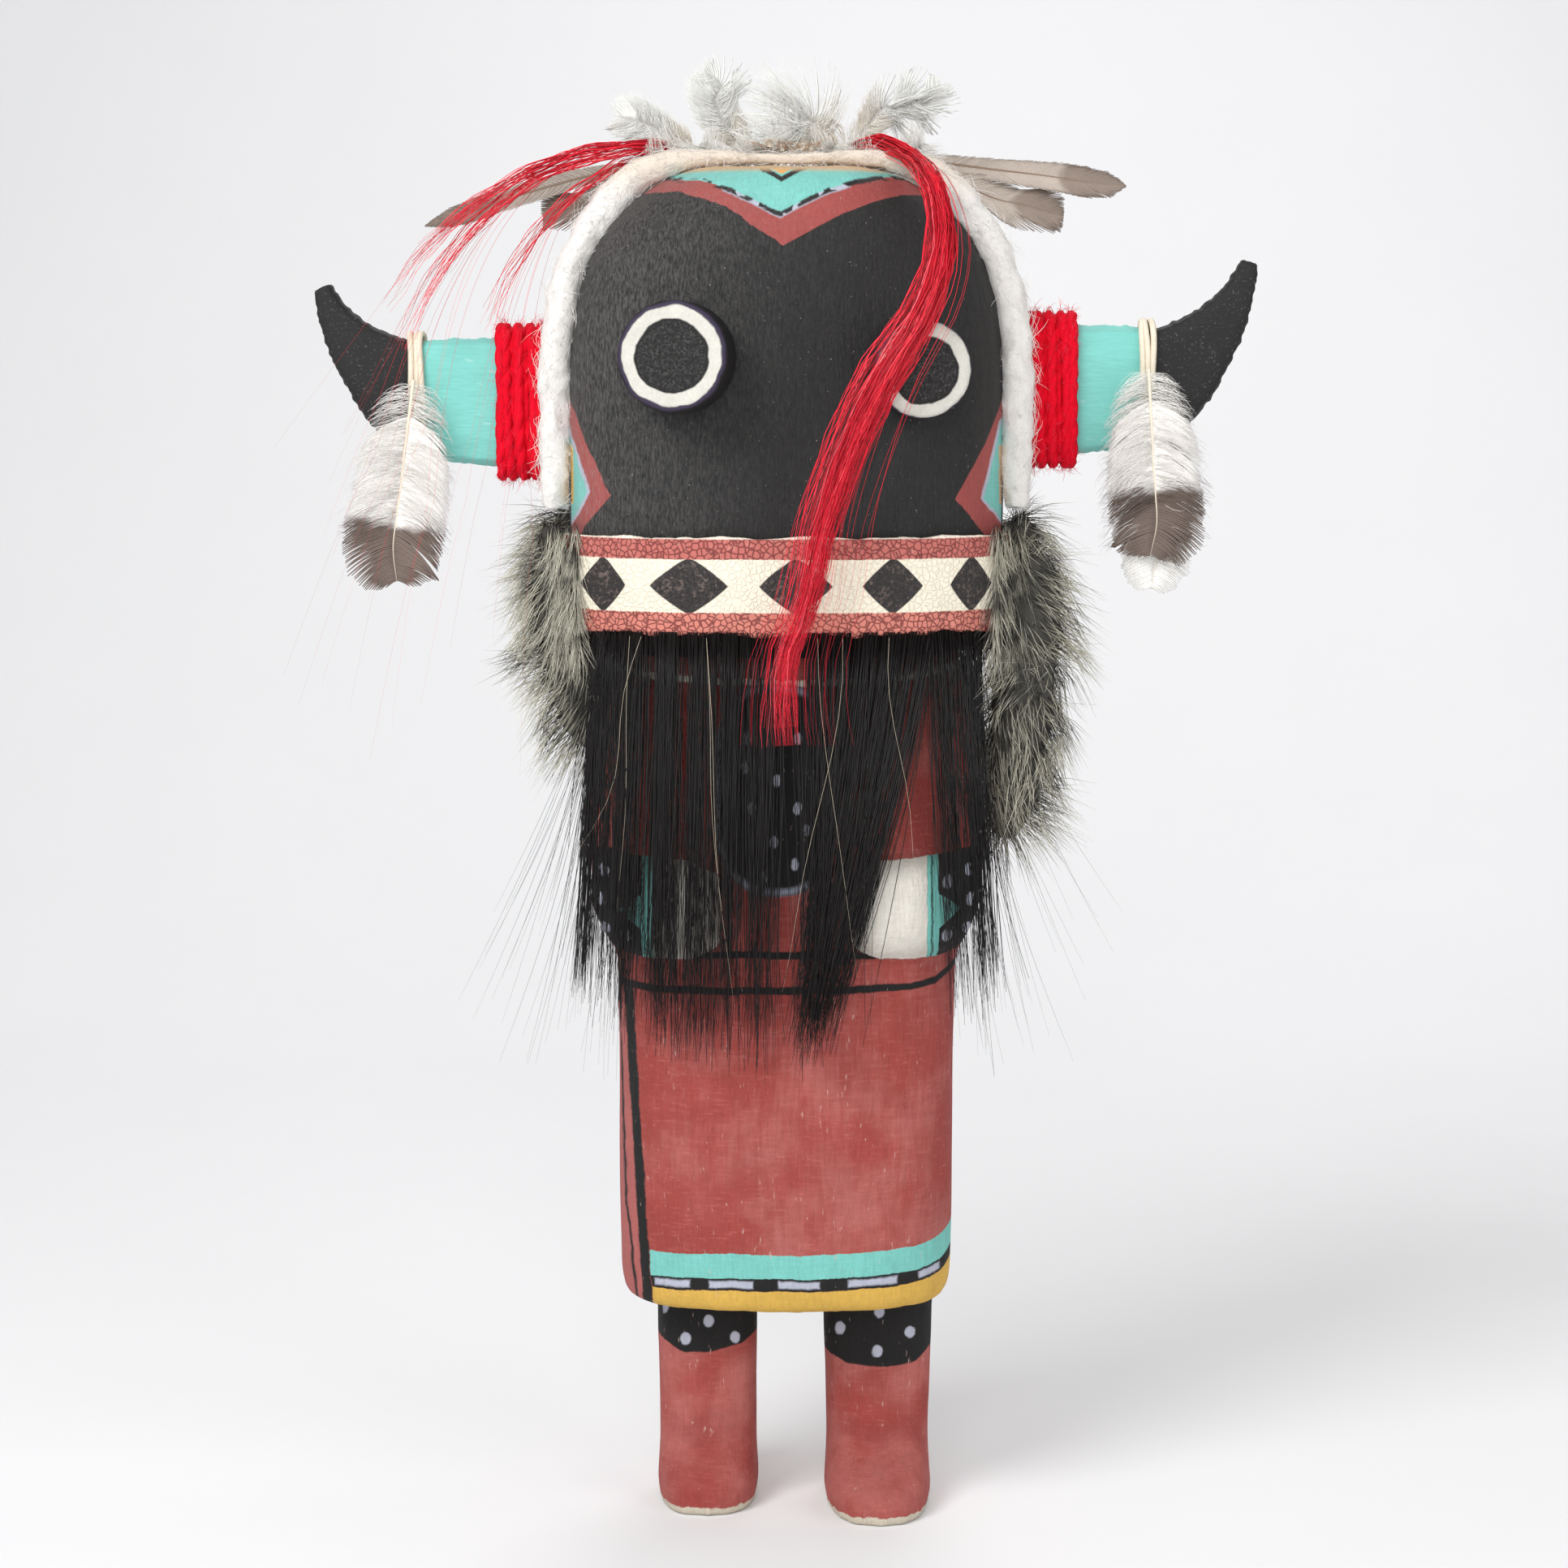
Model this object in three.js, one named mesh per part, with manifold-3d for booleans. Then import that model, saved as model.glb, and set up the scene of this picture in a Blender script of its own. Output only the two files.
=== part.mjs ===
// A kachina doll: one figure carved from cottonwood root and painted, with peg eyes, two horns bound in
// yarn, a soft cord round its mask, a leather band, a horsehair beard, a fur ruff, dyed hair and feathers.
// Millimetres, +Z up. The doll faces -Y and stands on Z = 0. Left and right are the doll's own, so its
// left side is +X. In plan the model is centred on its own bounding box.

import * as THREE from "three";
import { mergeVertices } from "three/addons/utils/BufferGeometryUtils.js";
import Module from "manifold-3d";

// Clearance left where one piece rests against another
const GAP = 0.3;

// How much further a strip bent round the mask stands off, so that its flat facets clear the mask's
const BEND_SLACK = 0.25;

// Levels of the carved figure
const HEM_Z = 43;
const CHIN_Z = 171.5;
const CROWN_Z = 263.6;

// The robe and the mask: half widths, and depths in front of and behind the figure's axis. The robe's
// neck goes up into the mask by its overlap.
const NECK_OVERLAP = 5;
const ROBE_HALF_WIDTH = 33.4;
const ROBE_FRONT = 25;
const ROBE_BACK = 24;
const MASK_HALF_WIDTH = 42.9;
const MASK_FRONT = 28;
const MASK_BACK = 25;

// Legs and boots
const LEG_FRONT = 8;
const LEG_BACK = 13;
const LEG_OVERLAP = 4;
const ANKLE_Z = 13;
const SOLE_HEIGHT = 1.6;
const LEGS = {
  right: { x: -15.7, halfWidth: 10.2, toe: 17 },
  left: { x: 18.3, halfWidth: 10.9, toe: 23.5 },
};

// Arms, carved in relief on the body; each elbow lies a little in front of its shoulder
const ARM_RELIEF = 5.1;
const ARM_HALF_WIDTH = 7.5;
const ARM_HALF_DEPTH = 11.5;
const ARM_SWING = 2;
const SHOULDER_DROP = 2;
const FOREARM_Z = 122.8;
const FOREARM_HALF_HEIGHT = 9.8;
const FOREARM_HALF_DEPTH = 5;
const HAND_TIP_X = 13.2;

// Peg eyes: x and z of the root on the mask, the peg's radius, how far it stands out, and its lean
const EYES = {
  right: { x: -19.6, z: 227.7, radius: 10.5, length: 11, lean: [-0.14, 0.02] },
  left: { x: 23.9, z: 226.5, radius: 9.2, length: 10.5, lean: [0.16, -0.1] },
};
const EYE_EDGE = 0.8;

// The soft white cord that runs from cheek to cheek over the crown, where it is worn thin
const CORD_RADIUS = 3.3;
const CORD_CROWN_RADIUS = 1.7;
const CORD_Y = -6.5;
const CORD_END_Z = 198;

// Horns: root's z, reach from the mask's side to the tip, the tip's rise, and where along the reach the
// feathers are tied on
const HORN_THICKNESS = 8;
const HORN_HALF_HEIGHT = 12.7;
const HORNS = {
  right: { side: -1, z: 219, reach: 47.9, rise: 22.2, tie: 0.6 },
  left: { side: 1, z: 221.4, reach: 47.8, rise: 24.6, tie: 0.565 },
};

// Yarn bound round each horn's root, and the thong that ties its feathers on
const YARN_TURNS = 4;
const YARN_WIDTH = 9.6;
const YARN_THICKNESS = 2.9;
const THONG_WIDTH = 3.6;
const THONG_THICKNESS = 1.1;

// The leather band over the mouth
const BAND_TOP_Z = 194.3;
const BAND_HEIGHT = 18.8;
const BAND_THICKNESS = 1.5;
const BAND_HALF_ANGLE = 78;

// The horsehair beard below the band, in locks
const BEARD_LOCKS = 9;
const BEARD_LENGTH = 77.5;
const BEARD_HALF_WIDTH = 37;
const BEARD_HALF_DEPTH = 1.4;
const BEARD_FLARE = 4;

// The fur ruff round the neck, with a tail at each side
const RUFF_Z = 185;
const RUFF_HALF_HEIGHT = 13.5;
const RUFF_THICKNESS = 10.5;
const RUFF_FRONT_ANGLE = 8;
const RUFF_WAVE = 1.6;
const RUFF_TAIL_Y = -6;
const RUFF_TAILS = {
  right: { side: -1, bottom: 150, reach: 46.2, halfWidth: 7, halfDepth: 9, drift: 6 },
  left: { side: 1, bottom: 132.5, reach: 49.6, halfWidth: 8, halfDepth: 9, drift: 4 },
};

// Feathers
const QUILL_THICKNESS = 1;
const VANE_THICKNESS = 0.7;
const DOWN_THICKNESS = 3.4;

// Wing feathers spread behind the crown: where the lower ones are rooted, how far the upper ones lie above
// and behind them, and each one's reach sideways, drop at the tip and half width
const WING_ROOT_X = 13;
const WING_SWEEP = 6;
const WING_STACK = { lift: 1.6, back: 4 };
const WINGS = {
  right_long: { side: -1, upper: 1, reach: 61, drop: 15, halfWidth: 2.6 },
  right_short: { side: -1, upper: 0, reach: 36, drop: 12, halfWidth: 5 },
  left_long: { side: 1, upper: 1, reach: 56.5, drop: 6.8, halfWidth: 3.6 },
  left_short: { side: 1, upper: 0, reach: 43, drop: 12, halfWidth: 5.4 },
};

// Down feathers on the crown: the root's x, how far the tip leans, height, half width, and how far back
const CREST = [
  { x: -18, lean: -15, height: 9.5, halfWidth: 4, back: 0 },
  { x: -7, lean: -11, height: 18, halfWidth: 4.6, back: 3.2 },
  { x: 3, lean: 0.5, height: 12.5, halfWidth: 7, back: 0 },
  { x: 13, lean: 17, height: 17.5, halfWidth: 4.8, back: 3.6 },
];

// Feathers hung from the horns: start is how far above the horn's root level the quill begins
const HANGING = {
  horn_feather_right: { horn: "right", lean: -7, start: 7, length: 43.8, halfWidth: 9.8, forward: 0 },
  horn_feather_left_back: { horn: "left", lean: 2.6, start: 6, length: 47.6, halfWidth: 7.6, forward: 0 },
  horn_feather_left_front: { horn: "left", lean: 1.6, start: 7, length: 41.4, halfWidth: 10, forward: 3 },
};
const HANGING_BOW = 1.2;

const wasm = await Module();
wasm.setup();

const vec = (x, y, z) => new THREE.Vector3(x, y, z);
const radians = THREE.MathUtils.degToRad;
const { lerp, smoothstep } = THREE.MathUtils;

// Solids

function signedVolume(geometry) {
  const corners = geometry.getAttribute("position");
  const [a, b, c] = [vec(0, 0, 0), vec(0, 0, 0), vec(0, 0, 0)];
  let sum = 0;
  for (let i = 0; i < geometry.index.count; i += 3) {
    a.fromBufferAttribute(corners, geometry.index.getX(i));
    b.fromBufferAttribute(corners, geometry.index.getX(i + 1));
    c.fromBufferAttribute(corners, geometry.index.getX(i + 2));
    sum += a.dot(b.cross(c)) / 6;
  }
  return sum;
}

// A closed geometry as a solid with its faces pointing out.
function solidOf(geometry) {
  const bare = geometry.clone();
  bare.deleteAttribute("normal");
  bare.deleteAttribute("uv");
  const merged = mergeVertices(bare, 1e-4);
  const triVerts = new Uint32Array(merged.index.array);
  if (signedVolume(merged) < 0) triVerts.reverse();
  const vertProperties = new Float32Array(merged.getAttribute("position").array);
  return new wasm.Manifold(new wasm.Mesh({ numProp: 3, vertProperties, triVerts }));
}

function geometryOf(solid) {
  const mesh = solid.getMesh();
  const geometry = new THREE.BufferGeometry();
  geometry.setAttribute("position", new THREE.BufferAttribute(mesh.vertProperties, mesh.numProp));
  geometry.setIndex(new THREE.BufferAttribute(mesh.triVerts, 1));
  geometry.computeVertexNormals();
  return geometry;
}

const joined = (solids) => solids.reduce((all, one) => all.add(one));

// What is left of a piece beside its neighbours; a cut can leave crumbs, and only the main part is kept.
function cutBy(piece, ...neighbours) {
  const left = neighbours.reduce((rest, other) => rest.subtract(other), piece);
  return left.decompose().sort((a, b) => b.volume() - a.volume())[0];
}

// Rings of points joined one to the next, with a flat end on the first and on the last.
function loft(rings) {
  const sides = rings[0].length;
  const points = rings.flat();
  const index = [];
  for (let r = 0; r + 1 < rings.length; r++) {
    for (let i = 0; i < sides; i++) {
      const a = r * sides + i;
      const b = r * sides + ((i + 1) % sides);
      index.push(a, b, b + sides, a, b + sides, a + sides);
    }
  }
  for (const [ring, turn] of [[0, -1], [rings.length - 1, 1]]) {
    const centre = rings[ring].reduce((sum, p) => sum.add(p), vec(0, 0, 0)).divideScalar(sides);
    const first = ring * sides;
    for (let i = 0; i < sides; i++) {
      const edge = [first + i, first + ((i + 1) % sides)];
      index.push(points.length, ...(turn > 0 ? edge : edge.reverse()));
    }
    points.push(centre);
  }
  const geometry = new THREE.BufferGeometry().setFromPoints(points);
  geometry.setIndex(index);
  return solidOf(geometry);
}

// A point of a superellipse whose front (-Y) and back can have different depths; angle 0 is +X.
function ovalPoint({ width, front, back, power }, angle) {
  const [c, s] = [Math.cos(angle), Math.sin(angle)];
  const across = Math.sign(c) * Math.abs(c) ** (2 / power) * width;
  const along = Math.sign(s) * Math.abs(s) ** (2 / power) * (s < 0 ? front : back);
  return [across, along];
}

// How far in front of the axis a section's surface lies at x.
const frontAt = ({ width, front, power }, x) =>
  -front * Math.max(0, 1 - Math.abs(x / width) ** power) ** (1 / power);

function ovalRing(section, sides, place) {
  return Array.from({ length: sides }, (_, i) =>
    place(...ovalPoint(section, (2 * Math.PI * i) / sides)));
}

// Smooth values between rows of [share, ...values], with the slopes of a Catmull-Rom spline.
function between(rows, share) {
  const at = THREE.MathUtils.clamp(share, rows[0][0], rows.at(-1)[0]);
  const k = Math.max(0, Math.min(rows.length - 2, rows.findLastIndex((row) => row[0] <= at)));
  const [from, to] = [rows[k], rows[k + 1]];
  const [before, after] = [rows[Math.max(0, k - 1)], rows[Math.min(rows.length - 1, k + 2)]];
  const span = to[0] - from[0];
  const t = (at - from[0]) / span;
  return from.slice(1).map((value, j) => {
    const next = to[j + 1];
    const slopeIn = ((next - before[j + 1]) / (to[0] - before[0])) * span;
    const slopeOut = ((after[j + 1] - value) / (after[0] - from[0])) * span;
    const [t2, t3] = [t * t, t * t * t];
    return (2 * t3 - 3 * t2 + 1) * value + (t3 - 2 * t2 + t) * slopeIn +
      (3 * t2 - 2 * t3) * next + (t3 - t2) * slopeOut;
  });
}

// A solid swept along a curve. wide is the direction its section's width keeps to, and size(t) gives the
// section's half width and half depth at share t of the length.
function sweep(points, steps, sides, wide, size, power = 2) {
  const curve = new THREE.CatmullRomCurve3(points);
  const rings = [];
  for (let k = 0; k <= steps; k++) {
    const t = k / steps;
    const at = curve.getPointAt(t);
    const along = curve.getTangentAt(t);
    const side = wide.clone().addScaledVector(along, -wide.dot(along)).normalize();
    const up = along.clone().cross(side);
    const [width, depth] = size(t);
    const section = { width, front: depth, back: depth, power };
    rings.push(ovalRing(section, sides, (x, y) =>
      at.clone().addScaledVector(side, x).addScaledVector(up, y)));
  }
  return loft(rings);
}

// The carved figure. Its outlines are rows of [share of the height, share of width, share of depth].

const MASK_POWER = 2.5;
const MASK_OUTLINE = [
  [0, 0.9, 0.86], [0.03, 0.95, 0.93], [0.2, 0.985, 0.98], [0.45, 1, 1], [0.66, 0.985, 1], [0.78, 0.93, 0.985],
  [0.87, 0.83, 0.95], [0.93, 0.71, 0.9], [0.975, 0.56, 0.83], [1, 0.42, 0.74],
];
const ROBE_POWER = 3;
const ROBE_OUTLINE = [
  [0, 0.94, 0.93], [0.012, 0.975, 0.97], [0.05, 0.985, 0.985], [0.45, 1, 1], [0.75, 1.01, 1],
  [0.9, 1, 0.97], [0.97, 0.9, 0.86], [1, 0.78, 0.76],
];
const NECK_Z = CHIN_Z + NECK_OVERLAP;
const BODY_SIDES = 32;
const LIMB_POWER = 2.7;

function maskSection(z, grow = 0) {
  const [width, depth] = between(MASK_OUTLINE, (z - CHIN_Z) / (CROWN_Z - CHIN_Z));
  return {
    width: MASK_HALF_WIDTH * width + grow,
    front: MASK_FRONT * depth + grow,
    back: MASK_BACK * depth + grow,
    power: MASK_POWER,
  };
}

function robeSection(z, grow = 0) {
  const [width, depth] = between(ROBE_OUTLINE, (z - HEM_Z) / (NECK_Z - HEM_Z));
  return {
    width: ROBE_HALF_WIDTH * width + grow,
    front: ROBE_FRONT * depth + grow,
    back: ROBE_BACK * depth + grow,
    power: ROBE_POWER,
  };
}

// A turned block between two levels; the end levels move out with grow.
function block(section, from, to, levels, sides, grow) {
  const rings = levels.map((share, k) => {
    const z = lerp(from, to, share);
    const shift = k === 0 ? -grow : k === levels.length - 1 ? grow : 0;
    return ovalRing(section(z, grow), sides, (x, y) => vec(x, y, z + shift));
  });
  return loft(rings);
}

function mask(grow) {
  const levels = [0, 0.02, 0.06, 0.25, 0.6, 0.72, 0.81, 0.88, 0.93, 0.965, 0.985, 1];
  return block(maskSection, CHIN_Z, CROWN_Z, levels, BODY_SIDES, grow);
}

function robe(grow) {
  const levels = [0, 0.012, 0.04, 0.25, 0.5, 0.75, 0.88, 0.94, 0.97, 1];
  return block(robeSection, HEM_Z, NECK_Z, levels, BODY_SIDES, grow);
}

// A leg with its boot: rows of [z, how far the front lies towards the toe, share of the width].
function leg({ x, halfWidth, toe }, grow) {
  const rows = [
    [0, 1, 0.97], [SOLE_HEIGHT, 1.0, 1], [ANKLE_Z * 0.4, 0.93, 0.99], [ANKLE_Z * 0.65, 0.6, 0.97],
    [ANKLE_Z * 0.85, 0.26, 0.96], [ANKLE_Z * 1.05, 0.08, 0.96], [ANKLE_Z * 1.5, 0, 0.97],
    [HEM_Z * 0.8, 0, 1], [HEM_Z + LEG_OVERLAP, 0, 1],
  ];
  const rings = rows.map(([z, reach, wide], k) => {
    const section = {
      width: halfWidth * wide + grow,
      front: lerp(LEG_FRONT, toe, reach) + grow,
      back: LEG_BACK + grow,
      power: LIMB_POWER,
    };
    return ovalRing(section, 16, (px, py) => vec(x + px, py, k ? z : z - grow));
  });
  return loft(rings);
}

// An arm hangs from the shoulder and bends at the elbow, so that the hand lies on the belly.
function arm(side, grow) {
  const outer = ROBE_HALF_WIDTH + ARM_RELIEF;
  const x = side * (outer - ARM_HALF_WIDTH);
  const elbow = FOREARM_Z - FOREARM_HALF_HEIGHT;
  const shoulder = CHIN_Z - SHOULDER_DROP;
  const upper = sweep(
    [
      vec(side * (outer - ARM_HALF_WIDTH * 1.5), 0, shoulder),
      vec(x, -0.25 * ARM_SWING, lerp(elbow, shoulder, 0.82)),
      vec(x, -0.5 * ARM_SWING, lerp(elbow, shoulder, 0.4)),
      vec(x, -ARM_SWING, elbow),
    ],
    8, 12, vec(1, 0, 0),
    (t) => {
      const round = 1 - 0.45 * smoothstep(t, 0.9, 1) - 0.35 * (1 - smoothstep(t, 0, 0.16));
      return [ARM_HALF_WIDTH * round + grow, ARM_HALF_DEPTH * round + grow];
    },
    LIMB_POWER,
  );
  const robeThere = robeSection(FOREARM_Z);
  const path = [0.93, 0.84, 0.7, 0.52, HAND_TIP_X / ROBE_HALF_WIDTH].map((share) => {
    const px = ROBE_HALF_WIDTH * share;
    const proud = ARM_RELIEF - FOREARM_HALF_DEPTH;
    return vec(side * px, frontAt(robeThere, px) - proud, FOREARM_Z);
  });
  const forearm = sweep(
    path, 8, 12, vec(0, 0, 1),
    (t) => {
      const hand = 1 - 0.5 * smoothstep(t, 0.88, 1) - 0.1 * (1 - smoothstep(t, 0, 0.3));
      return [FOREARM_HALF_HEIGHT * hand + grow, FOREARM_HALF_DEPTH * (0.5 + 0.5 * hand) + grow];
    },
    LIMB_POWER,
  );
  return upper.add(forearm);
}

const figure = (grow = 0) =>
  joined([mask(grow), robe(grow), leg(LEGS.left, grow), leg(LEGS.right, grow), arm(1, grow), arm(-1, grow)]);

// A peg eye stands out of the mask's face and leans a little outwards.
function eyePeg({ x, z, radius, length, lean }, grow = 0) {
  const face = frontAt(maskSection(z), x);
  const rim = radius + grow;
  const top = length + grow;
  const profile = [[0, -length], [rim, -length], [rim, top - EYE_EDGE], [rim - EYE_EDGE, top], [0, top]];
  const peg = new THREE.LatheGeometry(profile.map(([r, h]) => new THREE.Vector2(r, h)), 24);
  const axis = vec(lean[0], -1, lean[1]).normalize();
  peg.applyQuaternion(new THREE.Quaternion().setFromUnitVectors(vec(0, 1, 0), axis));
  return solidOf(peg.translate(x, face, z));
}

// The cord follows the mask's outline from one cheek over the crown to the other.
const cordRadius = (x) =>
  lerp(CORD_CROWN_RADIUS, CORD_RADIUS, smoothstep(Math.abs(x / MASK_HALF_WIDTH), 0.15, 0.62));

function cordPath() {
  const side = [0, 0.2, 0.4, 0.55, 0.68, 0.78, 0.86, 0.92, 0.965].map((share) => {
    const z = lerp(CORD_END_Z, CROWN_Z, share);
    const [x, dx] = [maskSection(z).width, maskSection(z + 0.5).width - maskSection(z - 0.5).width];
    const out = new THREE.Vector2(1, -dx).normalize().multiplyScalar(cordRadius(x) + GAP + BEND_SLACK);
    return vec(x + out.x, CORD_Y, z + out.y);
  });
  const crown = [0.3, 0].map((share) => {
    const x = MASK_HALF_WIDTH * share;
    return vec(x, CORD_Y, CROWN_Z + cordRadius(x) + GAP + BEND_SLACK);
  });
  const half = [...side, ...crown];
  const mirrored = half.slice(0, -1).map((p) => vec(-p.x, p.y, p.z)).reverse();
  return [...half, ...mirrored];
}

function maskCord(grow = 0) {
  const path = cordPath();
  const curve = new THREE.CatmullRomCurve3(path);
  return sweep(path, 28, 8, vec(0, 1, 0), (t) => {
    const taper = 0.72 + 0.28 * smoothstep(Math.min(t, 1 - t), 0, 0.05);
    const radius = cordRadius(curve.getPointAt(t).x) * taper + grow;
    return [radius, radius];
  });
}

// A horn: rows of [share of the reach, share of the rise, share of the half height].
const HORN_LINE = [
  [-0.2, 0, 1], [0.28, 0, 1], [0.55, 0.04, 0.93], [0.67, 0.135, 0.8],
  [0.79, 0.34, 0.56], [0.87, 0.52, 0.41], [0.945, 0.77, 0.24], [0.985, 1, 0.14],
];
const HORN_Y = CORD_Y + CORD_RADIUS + GAP + HORN_THICKNESS / 2;

const hornPoint = ({ side, z, reach, rise }, [out, up]) =>
  vec(side * (MASK_HALF_WIDTH + reach * out), HORN_Y, z + rise * up);

// One section of a horn, at a place along it counted in rows of its line.
function hornRing(place, row, grow, reach = 0) {
  const curve = new THREE.CatmullRomCurve3(HORN_LINE.map((one) => hornPoint(place, one)));
  const t = row / (HORN_LINE.length - 1);
  const from = Math.min(Math.floor(row), HORN_LINE.length - 2);
  const share = lerp(HORN_LINE[from][2], HORN_LINE[from + 1][2], row - from);
  const along = curve.getTangent(t);
  const at = curve.getPoint(t).addScaledVector(along, reach);
  const up = vec(-along.z * place.side, 0, along.x * place.side).normalize();
  const thick = (HORN_THICKNESS / 2) * lerp(0.45, 1, Math.sqrt(share)) + grow;
  const section = { width: HORN_HALF_HEIGHT * share + grow, front: thick, back: thick, power: 4 };
  return ovalRing(section, 10, (x, y) => at.clone().addScaledVector(up, x).add(vec(0, y, 0)));
}

const HORN_STATIONS = [0, 1, 1.5, 2, 2.5, 3, 3.5, 4, 4.5, 5, 5.5, 6, 6.5, 7];

const horn = (place, grow = 0) =>
  loft(HORN_STATIONS.map((row) => hornRing(place, row, grow, row === HORN_STATIONS.at(-1) ? grow : 0)));

// Yarn bound in turns round the horn's root: a sleeve with one bulge for each turn.
function yarn(place, grow = 0) {
  const inner = MASK_HALF_WIDTH + CORD_RADIUS + 2 * GAP;
  const perTurn = 3;
  const steps = YARN_TURNS * perTurn;
  const rings = [];
  for (let k = 0; k <= steps; k++) {
    const phase = (k % perTurn) / perTurn;
    const bulge = YARN_THICKNESS * (0.55 + 0.45 * Math.sin(Math.PI * phase)) + grow;
    const end = k === 0 ? -grow : k === steps ? grow : 0;
    const x = place.side * (inner + (YARN_WIDTH * k) / steps + end);
    const section = {
      width: HORN_HALF_HEIGHT + bulge,
      front: HORN_THICKNESS / 2 + bulge,
      back: HORN_THICKNESS / 2 + bulge,
      power: 3,
    };
    rings.push(ovalRing(section, 12, (up, y) => vec(x, HORN_Y + y, place.z + up)));
  }
  return loft(rings);
}

// The thong is a short piece of a slightly larger horn.
function thong(place, grow = 0) {
  const row = HORN_LINE.findLastIndex((one) => one[0] <= place.tie);
  const step = HORN_LINE[row + 1][0] - HORN_LINE[row][0];
  const middle = row + (place.tie - HORN_LINE[row][0]) / step;
  const half = (THONG_WIDTH / 2 + grow) / (place.reach * step);
  const out = GAP + THONG_THICKNESS + grow;
  return loft([-half, 0, half].map((shift) => hornRing(place, middle + shift, out)));
}

// The leather band: a strip bent round the mask's lower front, a little fuller at its middle.
function band(grow = 0) {
  const steps = 24;
  const bottom = BAND_TOP_Z - BAND_HEIGHT;
  const rows = [[1, 0.85], [0.5, 1.25], [0, 1]];
  const rings = [];
  for (let k = 0; k <= steps; k++) {
    const turn = lerp(-BAND_HALF_ANGLE, BAND_HALF_ANGLE, k / steps);
    const angle = radians(turn - 90);
    const at = (share, out) => {
      const z = lerp(bottom, BAND_TOP_Z, share) + (share === 0 ? -grow : share === 1 ? grow : 0);
      const [x, y] = ovalPoint(maskSection(lerp(bottom, BAND_TOP_Z, share), out), angle);
      return vec(x, y, z);
    };
    const lie = GAP + BEND_SLACK;
    const outer = rows.map(([share, full]) => at(share, lie + BAND_THICKNESS * full + grow));
    const inner = rows.map(([share]) => at(share, lie - grow)).reverse();
    rings.push([...outer, ...inner]);
  }
  return loft(rings);
}

// The beard's middle surface: under the band at the top, clear of the hands lower down.
const BEARD_TOP_Z = BAND_TOP_Z - BAND_HEIGHT - GAP;
function beardPoint(x, z) {
  const down = smoothstep(BEARD_TOP_Z - z, 0, BEARD_TOP_Z - FOREARM_Z - FOREARM_HALF_HEIGHT);
  const top = maskSection(BEARD_TOP_Z, GAP + BEARD_HALF_DEPTH);
  const hands = ROBE_FRONT + ARM_RELIEF + 2 * GAP + BEARD_HALF_DEPTH;
  const section = {
    width: lerp(top.width, ROBE_HALF_WIDTH + ARM_RELIEF + BEARD_FLARE, down),
    front: lerp(top.front, hands, down),
    power: MASK_POWER,
  };
  return vec(x, frontAt(section, x), z);
}

// The beard is one sheet of hair, thick along the middle of each lock and running to a point below it.
function beard(grow = 0) {
  const perLock = 4;
  const columns = BEARD_LOCKS * perLock;
  const rows = [0, 0.3, 0.6, 0.85, 1];
  const half = BEARD_HALF_WIDTH + grow;
  return loft(Array.from({ length: columns + 1 }, (_, k) => {
    const u = (2 * k) / columns - 1;
    const lock = Math.floor(k / perLock);
    const middle = Math.abs(Math.sin((Math.PI * k) / perLock));
    const shorter = 0.1 * Math.abs(Math.sin(lock * 2.3)) + 0.16 * u * u + 0.2 * (1 - middle);
    const length = BEARD_LENGTH * (1 - shorter) + grow;
    const faces = [1, -1].map((side) => rows.map((t) => {
      const point = beardPoint(half * u, BEARD_TOP_Z - length * t);
      const thick = BEARD_HALF_DEPTH * (0.45 + 0.55 * middle) * (1 - 0.75 * smoothstep(t, 0.6, 1));
      return point.add(vec(0, side * (thick + grow), t === 0 ? grow : 0));
    }));
    return [...faces[0], ...faces[1].reverse()];
  }));
}

// The fur ruff goes round the back of the neck and ends in a tail at each side of the chest.
const tuft = (a, b) => 1 + 0.09 * Math.sin(a * 5.1 + b * 2.7) + 0.06 * Math.sin(a * 9.3 - b * 4.9);

function ruff(grow = 0) {
  const steps = 24;
  const sides = 10;
  const around = Array.from({ length: steps + 1 }, (_, k) => {
    const angle = radians(lerp(-RUFF_FRONT_ANGLE, 180 + RUFF_FRONT_ANGLE, k / steps));
    return Array.from({ length: sides }, (_, i) => {
      const turn = (2 * Math.PI * i) / sides;
      const size = tuft(k * 0.9, i);
      const fall = RUFF_WAVE * Math.sin(k * 1.3);
      const z = RUFF_Z + fall + (RUFF_HALF_HEIGHT * size + grow) * Math.sin(turn);
      const thick = RUFF_THICKNESS * 0.5 * (1 + Math.cos(turn)) * size;
      const [x, y] = ovalPoint(maskSection(z, GAP + 2 * BEND_SLACK + thick + grow * Math.cos(turn)), angle);
      return vec(x, y, z);
    });
  });
  const tails = Object.values(RUFF_TAILS).map((tail) => {
    const { side, bottom, reach, halfWidth, halfDepth, drift } = tail;
    const top = RUFF_Z + RUFF_HALF_HEIGHT * 0.4;
    const levels = 7;
    return loft(Array.from({ length: levels + 1 }, (_, k) => {
      const t = k / levels;
      const round = 1 - 0.6 * smoothstep(t, 0.8, 1) - 0.3 * (1 - smoothstep(t, 0, 0.15));
      const centre = vec(side * (reach - drift * t * t), RUFF_TAIL_Y, lerp(top, bottom, t));
      const section = { width: halfWidth, front: halfDepth, back: halfDepth, power: 2 };
      return ovalRing(section, sides, (x, y) => {
        const size = round * tuft(k * 1.9 + side, (7.5 * (x + y)) / halfWidth);
        return vec(centre.x + x * size, centre.y + y * size, centre.z - (k === levels ? grow : 0));
      });
    }));
  });
  return joined([loft(around), ...tails]);
}

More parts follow.
